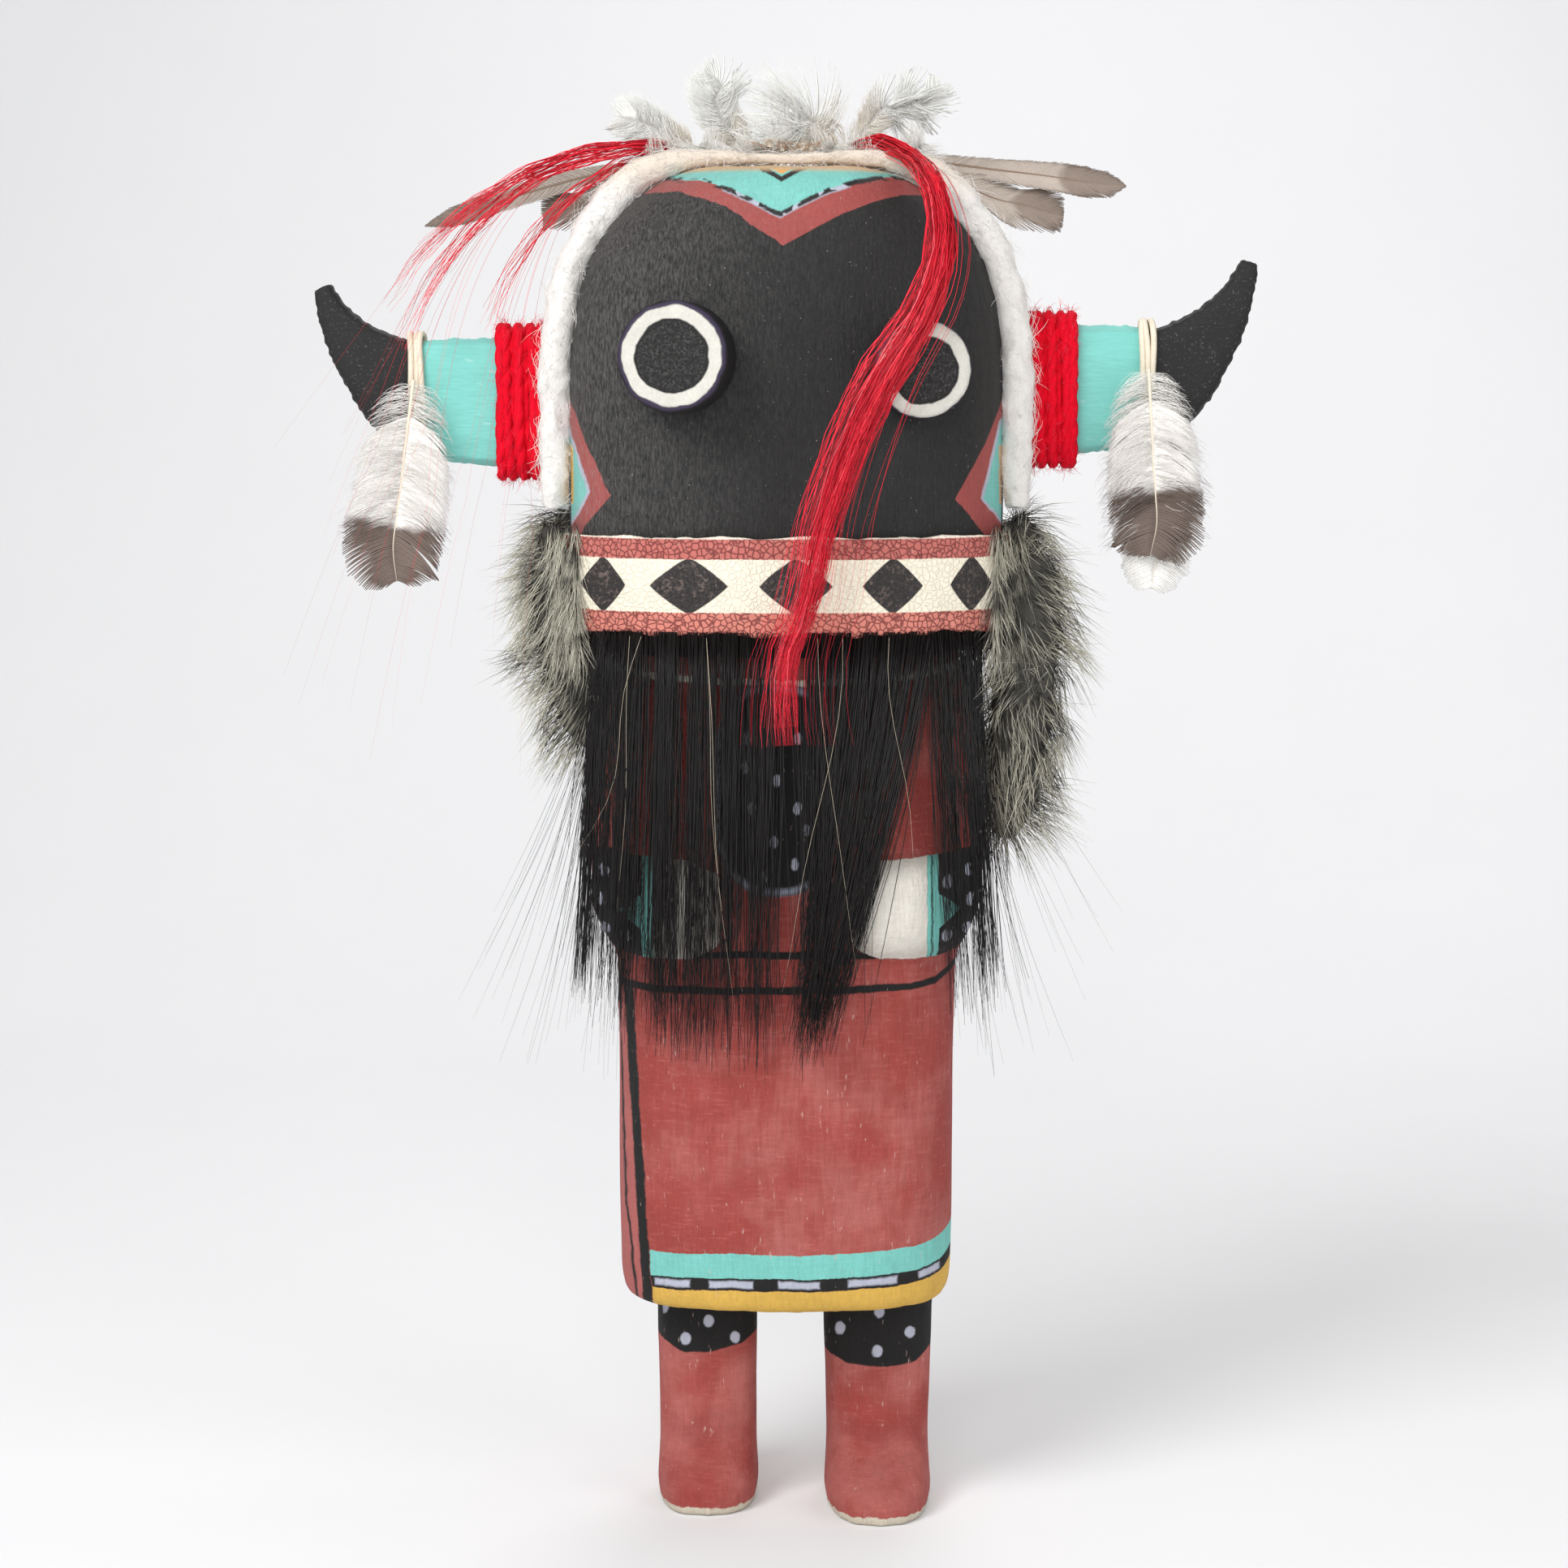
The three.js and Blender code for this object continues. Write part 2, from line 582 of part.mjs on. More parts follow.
// A hank of hair: points of its line, half width along it, and the direction in which it spreads.
function hank({ line, wide, widths, depth }, grow = 0) {
  return sweep(line.map((p) => vec(...p)), 2 * line.length, 6, vec(...wide), (t) => {
    const [width] = between(widths, t);
    return [width + grow, Math.min(depth, width) + grow];
  });
}

// A feather: its shaft's line, its half width and the direction across its vane.
function feather({ line, across, halfWidth, shape, thickness = VANE_THICKNESS }, grow = 0) {
  const curve = new THREE.CatmullRomCurve3(line.map((p) => vec(...p)));
  const steps = 7;
  const rings = [];
  for (let k = 0; k <= steps; k++) {
    const t = k / steps;
    const along = curve.getTangentAt(t);
    const side = vec(...across).addScaledVector(along, -vec(...across).dot(along)).normalize();
    const up = along.clone().cross(side);
    const [share] = between(shape, t);
    const width = Math.max(halfWidth * share, QUILL_THICKNESS / 2) + grow;
    const ridge = Math.max(thickness, QUILL_THICKNESS) / 2 + grow;
    const edge = Math.min(thickness * 0.3 + grow, ridge);
    const at = curve.getPointAt(t);
    const corners = [[1, -edge], [1, edge], [0, ridge], [-1, edge], [-1, -edge], [0, -ridge]];
    rings.push(corners.map(([s, u]) => at.clone().addScaledVector(side, s * width).addScaledVector(up, u)));
  }
  return loft(rings);
}

// Outlines of the three kinds of feather: [share of the length, share of the half width].
const WING_SHAPE = [[0, 0.1], [0.2, 0.35], [0.45, 0.9], [0.7, 1], [0.9, 0.75], [1, 0.25]];
const BODY_SHAPE = [[0, 0.12], [0.15, 0.5], [0.4, 0.9], [0.7, 1], [0.9, 0.82], [1, 0.4]];
const DOWN_SHAPE = [[0, 0.25], [0.3, 0.8], [0.6, 1], [0.85, 0.8], [1, 0.3]];

// Where the feathers meet the crown, and what they have to clear on the horns
const CREST_Z = CROWN_Z + 2 * GAP + DOWN_THICKNESS * 0.85;
const WING_Z = CROWN_Z + GAP + QUILL_THICKNESS;
const WING_Y = CORD_Y + CORD_RADIUS + 2 * WING_STACK.back;
const CREST_Y = WING_Y - WING_STACK.back;
const HANG_Y = HORN_Y - HORN_THICKNESS / 2 - THONG_THICKNESS - 2 * GAP - QUILL_THICKNESS;

// Wing feathers lie on the crown behind the cord and spread to both sides.
function wingFeather({ side, upper, reach, drop, halfWidth }) {
  const root = vec(side * WING_ROOT_X, WING_Y + upper * WING_STACK.back, WING_Z + upper * WING_STACK.lift);
  const line = [0, 0.35, 0.7, 1].map((t) => [
    root.x + side * reach * t, root.y + WING_SWEEP * t, root.z - drop * (0.25 * t + 0.75 * t * t),
  ]);
  return { line, across: [0.25 * side, 0.75, 1], halfWidth, shape: WING_SHAPE };
}

// Down feathers stand up from the crown, side by side.
function downFeather({ x, lean, height, halfWidth, back }) {
  const line = [0, 0.35, 0.7, 1].map((t) => [
    x + lean * t, CREST_Y + back + WING_SWEEP * (t / 3), CREST_Z + height * (t - 0.12 * t * t),
  ]);
  return { line, across: [1, 0, 0], halfWidth, shape: DOWN_SHAPE, thickness: DOWN_THICKNESS };
}

// Body feathers hang from the thongs in front of the horns.
function hangingFeather({ horn: side, lean, start, length, halfWidth, forward }) {
  const place = HORNS[side];
  const top = hornPoint(place, [place.tie, 0]);
  const line = [0, 0.4, 0.75, 1].map((t) => [
    top.x + lean * t, HANG_Y - forward - HANGING_BOW * Math.sin(Math.PI * t), place.z + start - length * t,
  ]);
  return { line, across: [1, 0, 0], halfWidth, shape: BODY_SHAPE };
}

const crownFeathers = {};
for (const [name, one] of Object.entries(WINGS)) crownFeathers[`wing_feather_${name}`] = wingFeather(one);
CREST.forEach((one, k) => (crownFeathers[`crest_feather_${k + 1}`] = downFeather(one)));

// Red-dyed hair: one hank falls over the face, the other blows out to the doll's right.
const eyeFront = frontAt(maskSection(EYES.left.z), EYES.left.x) - EYES.left.length - 4;
const bandFront = -(MASK_FRONT + BAND_THICKNESS * 1.25 + 5);
const crownTop = CROWN_Z + 2 * CORD_RADIUS + 2.2;
const FACE_HANK = {
  line: [
    [12.5, CORD_Y + 7, crownTop - 3.4], [16, CORD_Y - 0.5, crownTop], [23, -19, crownTop - 6],
    [28.5, -29, CROWN_Z - 8], [29.5, -37, CROWN_Z - 20], [26, eyeFront, CROWN_Z - 30],
    [19.5, eyeFront, EYES.left.z], [12.5, eyeFront, EYES.left.z - 15], [7, eyeFront + 2, BAND_TOP_Z + 2],
    [4, bandFront, BAND_TOP_Z - BAND_HEIGHT / 2], [1.5, bandFront - 1, BEARD_TOP_Z - 2],
    [-0.5, bandFront - 1.2, BEARD_TOP_Z - 15],
  ],
  wide: [1, 0, 0.3],
  widths: [[0, 1.6], [0.1, 2.4], [0.4, 2.6], [0.7, 3.2], [0.9, 4], [1, 3.4]],
  depth: 1.5,
};
const SIDE_HANK = {
  line: [
    [-20, CORD_Y + 5, crownTop - 2.6], [-28, CORD_Y - 0.5, crownTop], [-40, -8, CROWN_Z + 2.4],
    [-53, -10, CROWN_Z - 2.6], [-64.5, -11, CROWN_Z - 9.5], [-72.5, -11.5, CROWN_Z - 17],
  ],
  wide: [0, 0, 1],
  widths: [[0, 1.2], [0.3, 1.7], [0.7, 1.5], [1, 0.7]],
  depth: 1.2,
};

// Finishes: colour, roughness
const FINISHES = {
  painted_wood: [0x9c3a35, 0.85],
  black_paint: [0x2a2a2b, 0.85],
  white_wool: [0xf2efe9, 1],
  red_yarn: [0xd3122e, 1],
  leather: [0xe9dcc4, 0.7],
  horsehair: [0x15110f, 0.45],
  red_hair: [0xc4161f, 0.5],
  fur: [0x77786e, 1],
  grey_feather: [0x9a8b80, 0.7],
  white_feather: [0xe9e6e1, 0.9],
};
const materials = Object.fromEntries(Object.entries(FINISHES).map(([name, [color, roughness]]) =>
  [name, new THREE.MeshStandardMaterial({ name, color, roughness, metalness: 0 })]));

const doll = new THREE.Group();
doll.name = "kachina_doll";

function add(name, solid, finish) {
  const mesh = new THREE.Mesh(geometryOf(solid), materials[finish]);
  mesh.name = name;
  doll.add(mesh);
}

// Each piece is cut by the ones before it that it touches, with a gap.
const figureRoom = figure(GAP);
const cordRoom = maskCord(GAP);
add("carved_figure", figure(), "painted_wood");
add("mask_cord", cutBy(maskCord(), figureRoom), "white_wool");

const eyeRooms = [];
for (const [side, eye] of Object.entries(EYES)) {
  add(`eye_peg_${side}`, cutBy(eyePeg(eye), figureRoom), "black_paint");
  eyeRooms.push(eyePeg(eye, GAP));
}

const hornRooms = [];
for (const [side, place] of Object.entries(HORNS)) {
  const hornRoom = horn(place, GAP);
  const yarnRoom = yarn(place, GAP);
  add(`horn_${side}`, cutBy(horn(place), figureRoom, cordRoom), "black_paint");
  add(`horn_yarn_${side}`, cutBy(yarn(place), hornRoom, cordRoom, figureRoom), "red_yarn");
  add(`horn_thong_${side}`, cutBy(thong(place), hornRoom), "leather");
  hornRooms.push(hornRoom, yarnRoom, thong(place, GAP));
}

const bandRoom = band(GAP);
add("mouth_band", cutBy(band(), figureRoom), "leather");
const beardRoom = beard(GAP);
add("beard", cutBy(beard(), figureRoom, bandRoom), "horsehair");
add("fur_ruff", cutBy(ruff(), figureRoom, cordRoom, bandRoom, beardRoom, ...hornRooms), "fur");

const crestRooms = [];
for (const [name, made] of Object.entries(crownFeathers)) {
  const finish = name.startsWith("wing") ? "grey_feather" : "white_feather";
  add(name, cutBy(feather(made), figureRoom, cordRoom, ...crestRooms), finish);
  crestRooms.push(feather(made, GAP));
}
const hangingRooms = [];
for (const [name, one] of Object.entries(HANGING)) {
  const made = hangingFeather(one);
  add(name, cutBy(feather(made), ...hornRooms, ...hangingRooms), "white_feather");
  hangingRooms.push(feather(made, GAP));
}

const hankNeighbours = [figureRoom, cordRoom, bandRoom, beardRoom, ...eyeRooms, ...crestRooms];
add("red_hair_front", cutBy(hank(FACE_HANK), ...hankNeighbours), "red_hair");
add("red_hair_side", cutBy(hank(SIDE_HANK), ...hankNeighbours), "red_hair");

const centre = new THREE.Box3().setFromObject(doll).getCenter(vec(0, 0, 0));
doll.position.set(-centre.x, -centre.y, 0);

export default doll;
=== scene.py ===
"""A kachina doll: a carved and painted wooden figure dressed with yarn, leather, horsehair, fur and feathers.

Lengths are millimetres and become metres when a mesh is made. The doll faces -Y and stands on Z = 0.
Left and right are the doll's own, so its left side is +X.
"""

import math
from functools import partialmethod

import bmesh
import bpy
import numpy as np
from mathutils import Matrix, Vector, noise


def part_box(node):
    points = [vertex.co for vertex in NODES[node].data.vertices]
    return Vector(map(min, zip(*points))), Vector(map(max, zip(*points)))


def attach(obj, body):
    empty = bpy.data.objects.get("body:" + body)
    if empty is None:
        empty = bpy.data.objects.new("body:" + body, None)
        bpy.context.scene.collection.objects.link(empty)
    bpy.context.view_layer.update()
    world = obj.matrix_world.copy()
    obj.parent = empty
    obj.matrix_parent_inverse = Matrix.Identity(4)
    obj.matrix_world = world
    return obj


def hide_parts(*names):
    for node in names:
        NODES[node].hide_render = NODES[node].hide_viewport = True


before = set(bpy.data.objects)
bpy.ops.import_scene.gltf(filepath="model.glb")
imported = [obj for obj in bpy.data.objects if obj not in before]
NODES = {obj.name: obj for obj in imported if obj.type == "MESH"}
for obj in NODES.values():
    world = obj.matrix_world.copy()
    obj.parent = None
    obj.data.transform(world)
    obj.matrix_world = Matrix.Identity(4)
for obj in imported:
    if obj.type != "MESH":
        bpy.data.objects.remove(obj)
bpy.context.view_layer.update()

MM = 0.001


# Camera and light, in the photograph's own frame

CAMERA_PLACE = (-0.4, -697.5, 230)
CAMERA_TARGET = (-0.4, 2.5, 144)
SENSOR = 36
LENS = 82.0
WORLD_STRENGTH = 0.41
LIGHTS = {  # place, target, size and power
    "key_light": ((-520, -620, 820), (0, 0, 130), 520, 7.4),
    "front_light": ((-60, -900, 420), (0, 0, 140), 480, 2.8),
    "fill_light": ((700, -560, 420), (0, 0, 130), 700, 1.8),
    "rim_light": ((100, 650, 800), (0, 0, 150), 500, 2.2),
    "backdrop_light": ((700, 250, 900), (600, 900, 420), 500, 1.2),
}


def add_to_scene(name, data):
    made = bpy.data.objects.new(name, data)
    bpy.context.scene.collection.objects.link(made)
    return made


def look_at(thing, place, target):
    thing.location = Vector(place) * MM
    thing.rotation_euler = (Vector(target) - Vector(place)).to_track_quat("-Z", "Y").to_euler()


def add_camera():
    data = bpy.data.cameras.new("camera")
    data.sensor_width = SENSOR
    data.lens = LENS
    data.clip_start = 0.01
    camera = add_to_scene("camera", data)
    look_at(camera, CAMERA_PLACE, CAMERA_TARGET)
    bpy.context.scene.camera = camera


def add_lights():
    for name, (place, target, size, power) in LIGHTS.items():
        data = bpy.data.lights.new(name, "AREA")
        data.shape = "DISK"
        data.size = size * MM
        data.energy = power
        look_at(add_to_scene(name, data), place, target)
    world = bpy.data.worlds.new("studio")
    world.use_nodes = True
    background = world.node_tree.nodes["Background"]
    background.inputs["Color"].default_value = (1, 1, 1, 1)
    background.inputs["Strength"].default_value = WORLD_STRENGTH
    bpy.context.scene.world = world
    bpy.context.scene.view_settings.view_transform = "Standard"


# Materials

class Value:
    """One output socket of a material's nodes, combined by ordinary arithmetic."""

    def __init__(self, tree, socket):
        self.tree = tree
        self.socket = socket

    def math(self, operation, *others, clamp=False):
        node = self.tree.nodes.new("ShaderNodeMath")
        node.operation = operation
        node.use_clamp = clamp
        for slot, value in enumerate((self, *others)):
            feed(value, node.inputs[slot])
        return Value(self.tree, node.outputs[0])

    __add__ = partialmethod(math, "ADD")
    __sub__ = partialmethod(math, "SUBTRACT")
    __mul__ = partialmethod(math, "MULTIPLY")
    __truediv__ = partialmethod(math, "DIVIDE")
    __abs__ = partialmethod(math, "ABSOLUTE")
    min = partialmethod(math, "MINIMUM")
    max = partialmethod(math, "MAXIMUM")
    power = partialmethod(math, "POWER")

    def __neg__(self):
        return self * -1.0

    def __rsub__(self, other):
        return -self + other

    def along(self, points):
        """The height of a line through (x, y) points at this value, level beyond its ends."""
        low, high = points[0][0], points[-1][0]
        bottom = min(y for _, y in points)
        span = max(max(y for _, y in points) - bottom, 1e-3)
        node = self.tree.nodes.new("ShaderNodeFloatCurve")
        curve = node.mapping.curves[0]
        while len(curve.points) < len(points):
            curve.points.new(0.5, 0.5)
        for point, (x, y) in zip(curve.points, points):
            point.location = ((x - low) / (high - low), (y - bottom) / span)
            point.handle_type = "VECTOR"
        node.mapping.update()
        share = (self - low) / (high - low)
        feed(share.math("ADD", 0.0, clamp=True), node.inputs["Value"])
        return Value(self.tree, node.outputs["Value"]) * span + bottom


def feed(value, socket):
    """Links a Value to a socket, or sets a plain number or colour on it."""
    if isinstance(value, Value):
        value.tree.links.new(value.socket, socket)
    else:
        socket.default_value = value


class Material:
    """A Principled material that is painted coat by coat, with lengths in millimetres."""

    def __init__(self, name, colour, roughness=0.6, specular=0.5, transmission=0.0):
        self.material = bpy.data.materials.new(name)
        self.material.use_nodes = True
        self.tree = self.material.node_tree
        self.inputs = self.tree.nodes["Principled BSDF"].inputs
        self.inputs["Roughness"].default_value = roughness
        self.inputs["Specular IOR Level"].default_value = specular
        self.inputs["Transmission Weight"].default_value = transmission
        self.place = Value(self.tree, self.tree.nodes.new("ShaderNodeTexCoord").outputs["Object"])
        split = self.tree.nodes.new("ShaderNodeSeparateXYZ")
        feed(self.place, split.inputs[0])
        self.x, self.y, self.z = (Value(self.tree, split.outputs[axis]) * (1 / MM) for axis in "XYZ")
        self.colour = colour
        self.bumps = None

    def texture(self, kind, scale, stretch=(1, 1, 1), **inputs):
        """A texture node with features of about scale millimetres, longer along an axis by its stretch."""
        mapping = self.tree.nodes.new("ShaderNodeMapping")
        mapping.inputs["Scale"].default_value = [1 / (scale * MM * s) for s in stretch]
        feed(self.place, mapping.inputs["Vector"])
        node = self.tree.nodes.new(kind)
        node.inputs["Scale"].default_value = 1.0
        for key, value in inputs.items():
            node.inputs[key].default_value = value
        feed(Value(self.tree, mapping.outputs[0]), node.inputs["Vector"])
        return node

    def noise(self, scale, detail=4.0, stretch=(1, 1, 1), roughness=0.5):
        node = self.texture("ShaderNodeTexNoise", scale, stretch, Detail=detail, Roughness=roughness)
        return Value(self.tree, node.outputs[0])

    def waves(self, *look):
        """Noise that lies about 0."""
        return self.noise(*look) - 0.5

    def cells(self, scale):
        """The distance to the nearest edge between cells of about scale millimetres."""
        node = self.texture("ShaderNodeTexVoronoi", scale)
        node.feature = "DISTANCE_TO_EDGE"
        return Value(self.tree, node.outputs["Distance"])

    def attribute(self, name):
        node = self.tree.nodes.new("ShaderNodeAttribute")
        node.attribute_name = name
        return Value(self.tree, node.outputs["Fac"])

    def ramp(self, value, low, high):
        """0 at low and 1 at high, smooth between them."""
        node = self.tree.nodes.new("ShaderNodeMapRange")
        node.interpolation_type = "SMOOTHSTEP"
        node.inputs["From Min"].default_value = low
        node.inputs["From Max"].default_value = high
        feed(value, node.inputs["Value"])
        return Value(self.tree, node.outputs[0])

    def coat(self, colour, fac):
        """Paints colour over what is there, by fac from 0 to 1."""
        node = self.tree.nodes.new("ShaderNodeMix")
        node.data_type = "RGBA"
        sockets = {socket.identifier: socket for socket in (*node.inputs, *node.outputs)}
        feed(fac, sockets["Factor_Float"])
        feed(self.colour, sockets["A_Color"])
        feed(colour, sockets["B_Color"])
        self.colour = Value(self.tree, sockets["Result_Color"])

    def wash(self, colour, value, low, high, *amounts):
        """Paints colour where value goes from low to high, by the product of amounts."""
        fac = self.ramp(value, low, high)
        for amount in amounts:
            fac = fac * amount
        self.coat(colour, fac)

    def paint(self, colour, distance, *others, edge=0.12):
        """Paints colour where every distance, in millimetres, is below 0."""
        for other in others:
            distance = distance.max(other)
        self.wash(colour, distance, edge, -edge)

    def shade(self, amount, value):
        """Darkens and lightens by value, which lies about 0."""
        node = self.tree.nodes.new("ShaderNodeVectorMath")
        node.operation = "SCALE"
        feed(self.colour if isinstance(self.colour, Value) else self.colour[:3], node.inputs[0])
        feed(value * amount + 1.0, node.inputs["Scale"])
        self.colour = Value(self.tree, node.outputs[0])

    def mottle(self, amount, *look):
        self.shade(amount, self.waves(*look))

    def bump(self, height, distance):
        """height is a Value about 0 to 1, and distance is its depth in millimetres."""
        node = self.tree.nodes.new("ShaderNodeBump")
        node.inputs["Strength"].default_value = 1.0
        node.inputs["Distance"].default_value = distance * MM
        feed(height, node.inputs["Height"])
        if self.bumps is not None:
            feed(self.bumps, node.inputs["Normal"])
        self.bumps = Value(self.tree, node.outputs[0])

    def done(self):
        feed(self.colour, self.inputs["Base Color"])
        if self.bumps is not None:
            feed(self.bumps, self.inputs["Normal"])
        return self.material


def srgb(*levels):
    """A colour named by its 0 to 255 screen values, as linear light."""
    shares = [level / 255 for level in levels]
    return (*(s / 12.92 if s <= 0.04045 else ((s + 0.055) / 1.055) ** 2.4 for s in shares), 1)


def stripe(value, half_width):
    return abs(value) - half_width


ROBE_RED = srgb(156, 66, 60)
ROBE_PALE = srgb(184, 110, 104)
CHARCOAL = srgb(27, 26, 26)
TURQUOISE = srgb(122, 197, 188)
LAVENDER = srgb(180, 183, 198)
YELLOW = srgb(214, 172, 80)
ORANGE = srgb(238, 166, 74)
CREAM = srgb(236, 230, 214)
WHITE_PAINT = srgb(218, 213, 203)
BARE_WOOD = srgb(206, 170, 126)
MASK_RED = srgb(158, 72, 68)
WOOL = srgb(240, 237, 233)


# Meshes

def dress(mesh, material):
    mesh.polygons.foreach_set("use_smooth", [True] * len(mesh.polygons))
    mesh.materials.append(material)


def add_object(name, vertices, faces, material):
    """vertices are in millimetres."""
    mesh = bpy.data.meshes.new(name)
    mesh.from_pydata((np.asarray(vertices, float) * MM).tolist(), [], faces)
    mesh.update()
    dress(mesh, material)
    return add_to_scene(name, mesh)


def surface_of(piece):
    """The places of a mesh's vertices in millimetres, and their normals."""
    found = []
    for name in ("co", "normal"):
        flat = np.empty(len(piece.data.vertices) * 3, np.float32)
        piece.data.vertices.foreach_get(name, flat)
        found.append(flat.reshape(-1, 3).astype(float))
    return found[0] / MM, found[1]


def move_points(piece, points):
    piece.data.vertices.foreach_set("co", (points * MM).astype(np.float32).ravel())
    piece.data.update()


def finish_piece(piece, slot, *nodes):
    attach(piece, "root")
    if nodes:
        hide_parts(*nodes)


def remeshed(node, name, voxel, smoothing, material):
    """A fine, smoothly rounded copy of a CAD node."""
    piece = add_to_scene(name, NODES[node].data.copy())
    piece.data.materials.clear()
    remesh = piece.modifiers.new("remesh", "REMESH")
    remesh.mode = "VOXEL"
    remesh.voxel_size = voxel * MM
    remesh.use_smooth_shade = True
    smooth = piece.modifiers.new("smooth", "SMOOTH")
    smooth.factor = 0.5
    smooth.iterations = smoothing
    depsgraph = bpy.context.evaluated_depsgraph_get()
    made = bpy.data.meshes.new_from_object(piece.evaluated_get(depsgraph), depsgraph=depsgraph)
    piece.modifiers.clear()
    old = piece.data
    piece.data = made
    bpy.data.meshes.remove(old)
    made.name = name
    dress(made, material)
    return piece


def box_mm(node):
    low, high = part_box(node)
    return np.array(low) / MM, np.array(high) / MM


def noise_at(places):
    """Smooth noise from about -1 to 1 at each place."""
    return np.array([noise.noise(Vector(place)) for place in places.tolist()])


def unit(vector):
    return vector / max(np.linalg.norm(vector), 1e-9)


def unit_rows(vectors):
    return vectors / np.maximum(np.linalg.norm(vectors, axis=1), 1e-9)[:, None]


def shares(count):
    """A column of count numbers from 0 to 1."""
    return np.linspace(0, 1, count)[:, None]


def directions(path, wide):
    """The way along a path at each of its points and two ways across it, the first kept close to wide."""
    along = unit_rows(np.gradient(path, axis=0))
    wide = np.array(wide, float)
    side = unit_rows(wide - along * (along @ wide)[:, None])
    return along, side, np.cross(along, side)


def run_along(path):
    """The length of a path up to each of its points."""
    return np.cumsum(np.r_[0, np.linalg.norm(np.diff(path, axis=0), axis=1)])


def smooth_path(points, count):
    """count points evenly spread in parameter along a Catmull-Rom curve through points."""
    points = np.asarray(points, float)
    padded = np.vstack([2 * points[0] - points[1], points, 2 * points[-1] - points[-2]])
    at = np.linspace(0, len(points) - 1, count)
    k = np.minimum(at.astype(int), len(points) - 2)
    t = (at - k)[:, None]
    p0, p1, p2, p3 = padded[k], padded[k + 1], padded[k + 2], padded[k + 3]
    return 0.5 * (2 * p1 + (p2 - p0) * t + (2 * p0 - 5 * p1 + 4 * p2 - p3) * t ** 2
                  + (3 * p1 - p0 - 3 * p2 + p3) * t ** 3)


def tube_rings(path, radii, sides, wide):
    """Rings of points round a path, the first direction kept close to wide."""
    _, side, up = directions(path, wide)
    turns = np.linspace(0, 2 * np.pi, sides, endpoint=False)[None, :, None]
    radii = np.broadcast_to(radii, (len(path),))[:, None, None]
    return path[:, None] + radii * (np.cos(turns) * side[:, None] + np.sin(turns) * up[:, None])


def ring_faces(rings, sides, first, joined):
    """Quads between successive rings, with a cap on each end or with the last ring joined to the first."""
    faces = []
    for r in range(rings if joined else rings - 1):
        row, after = first + r * sides, first + (r + 1) % rings * sides
        faces += [(row + i, row + (i + 1) % sides, after + (i + 1) % sides, after + i) for i in range(sides)]
    if not joined:
        last = first + (rings - 1) * sides
        faces += [tuple(range(first + sides - 1, first - 1, -1)), tuple(range(last, last + sides))]
    return faces


class Gathered:
    """Many tubes gathered into one mesh, with numbers on their points for the material."""

    def __init__(self):
        self.vertices, self.faces, self.values, self.count = [], [], {}, 0

    def add_rings(self, rings, joined=False, **values):
        size = rings.shape[:2]
        self.vertices.append(rings.reshape(-1, 3))
        self.faces += ring_faces(*size, self.count, joined)
        for name, numbers in values.items():
            self.values.setdefault(name, []).append(np.broadcast_to(numbers, size).ravel())
        self.count += size[0] * size[1]

    def hair(self, path, radius, tip=0.25, shade=0.0):
        """A tapering three-sided hair."""
        t = shares(len(path))
        radii = radius * (1 - (1 - tip) * t[:, 0] ** 2.5)
        self.add_rings(tube_rings(path, radii, 3, (0.31, 0.9, 0.28)), shade=shade, along=t)

    def build(self, name, material, slot, *nodes):
        piece = add_object(name, np.vstack(self.vertices), self.faces, material)
        for key, numbers in self.values.items():
            layer = piece.data.attributes.new(key, "FLOAT", "POINT")
            layer.data.foreach_set("value", np.concatenate(numbers).astype(np.float32))
        finish_piece(piece, slot, *nodes)


def hair_material(name, root, tip, roughness=0.4, pale=None):
    paint = Material(name, root, roughness)
    paint.coat(tip, paint.attribute("along"))
    if pale is not None:
        paint.wash(pale, paint.attribute("shade"), 0.92, 0.97)
    paint.shade(0.9, paint.attribute("shade") - 0.5)
    paint.mottle(0.5, 2.0)
    return paint.done()


# The carved figure

GRAIN_DEPTH = 0.11
HEM_Z = 43.0
CHIN_Z = 171.0
BELT_Z = 114.0
figure_low, figure_high = box_mm("carved_figure")
MIDDLE_X = (figure_low[0] + figure_high[0]) / 2
CROWN_Z = figure_high[2]


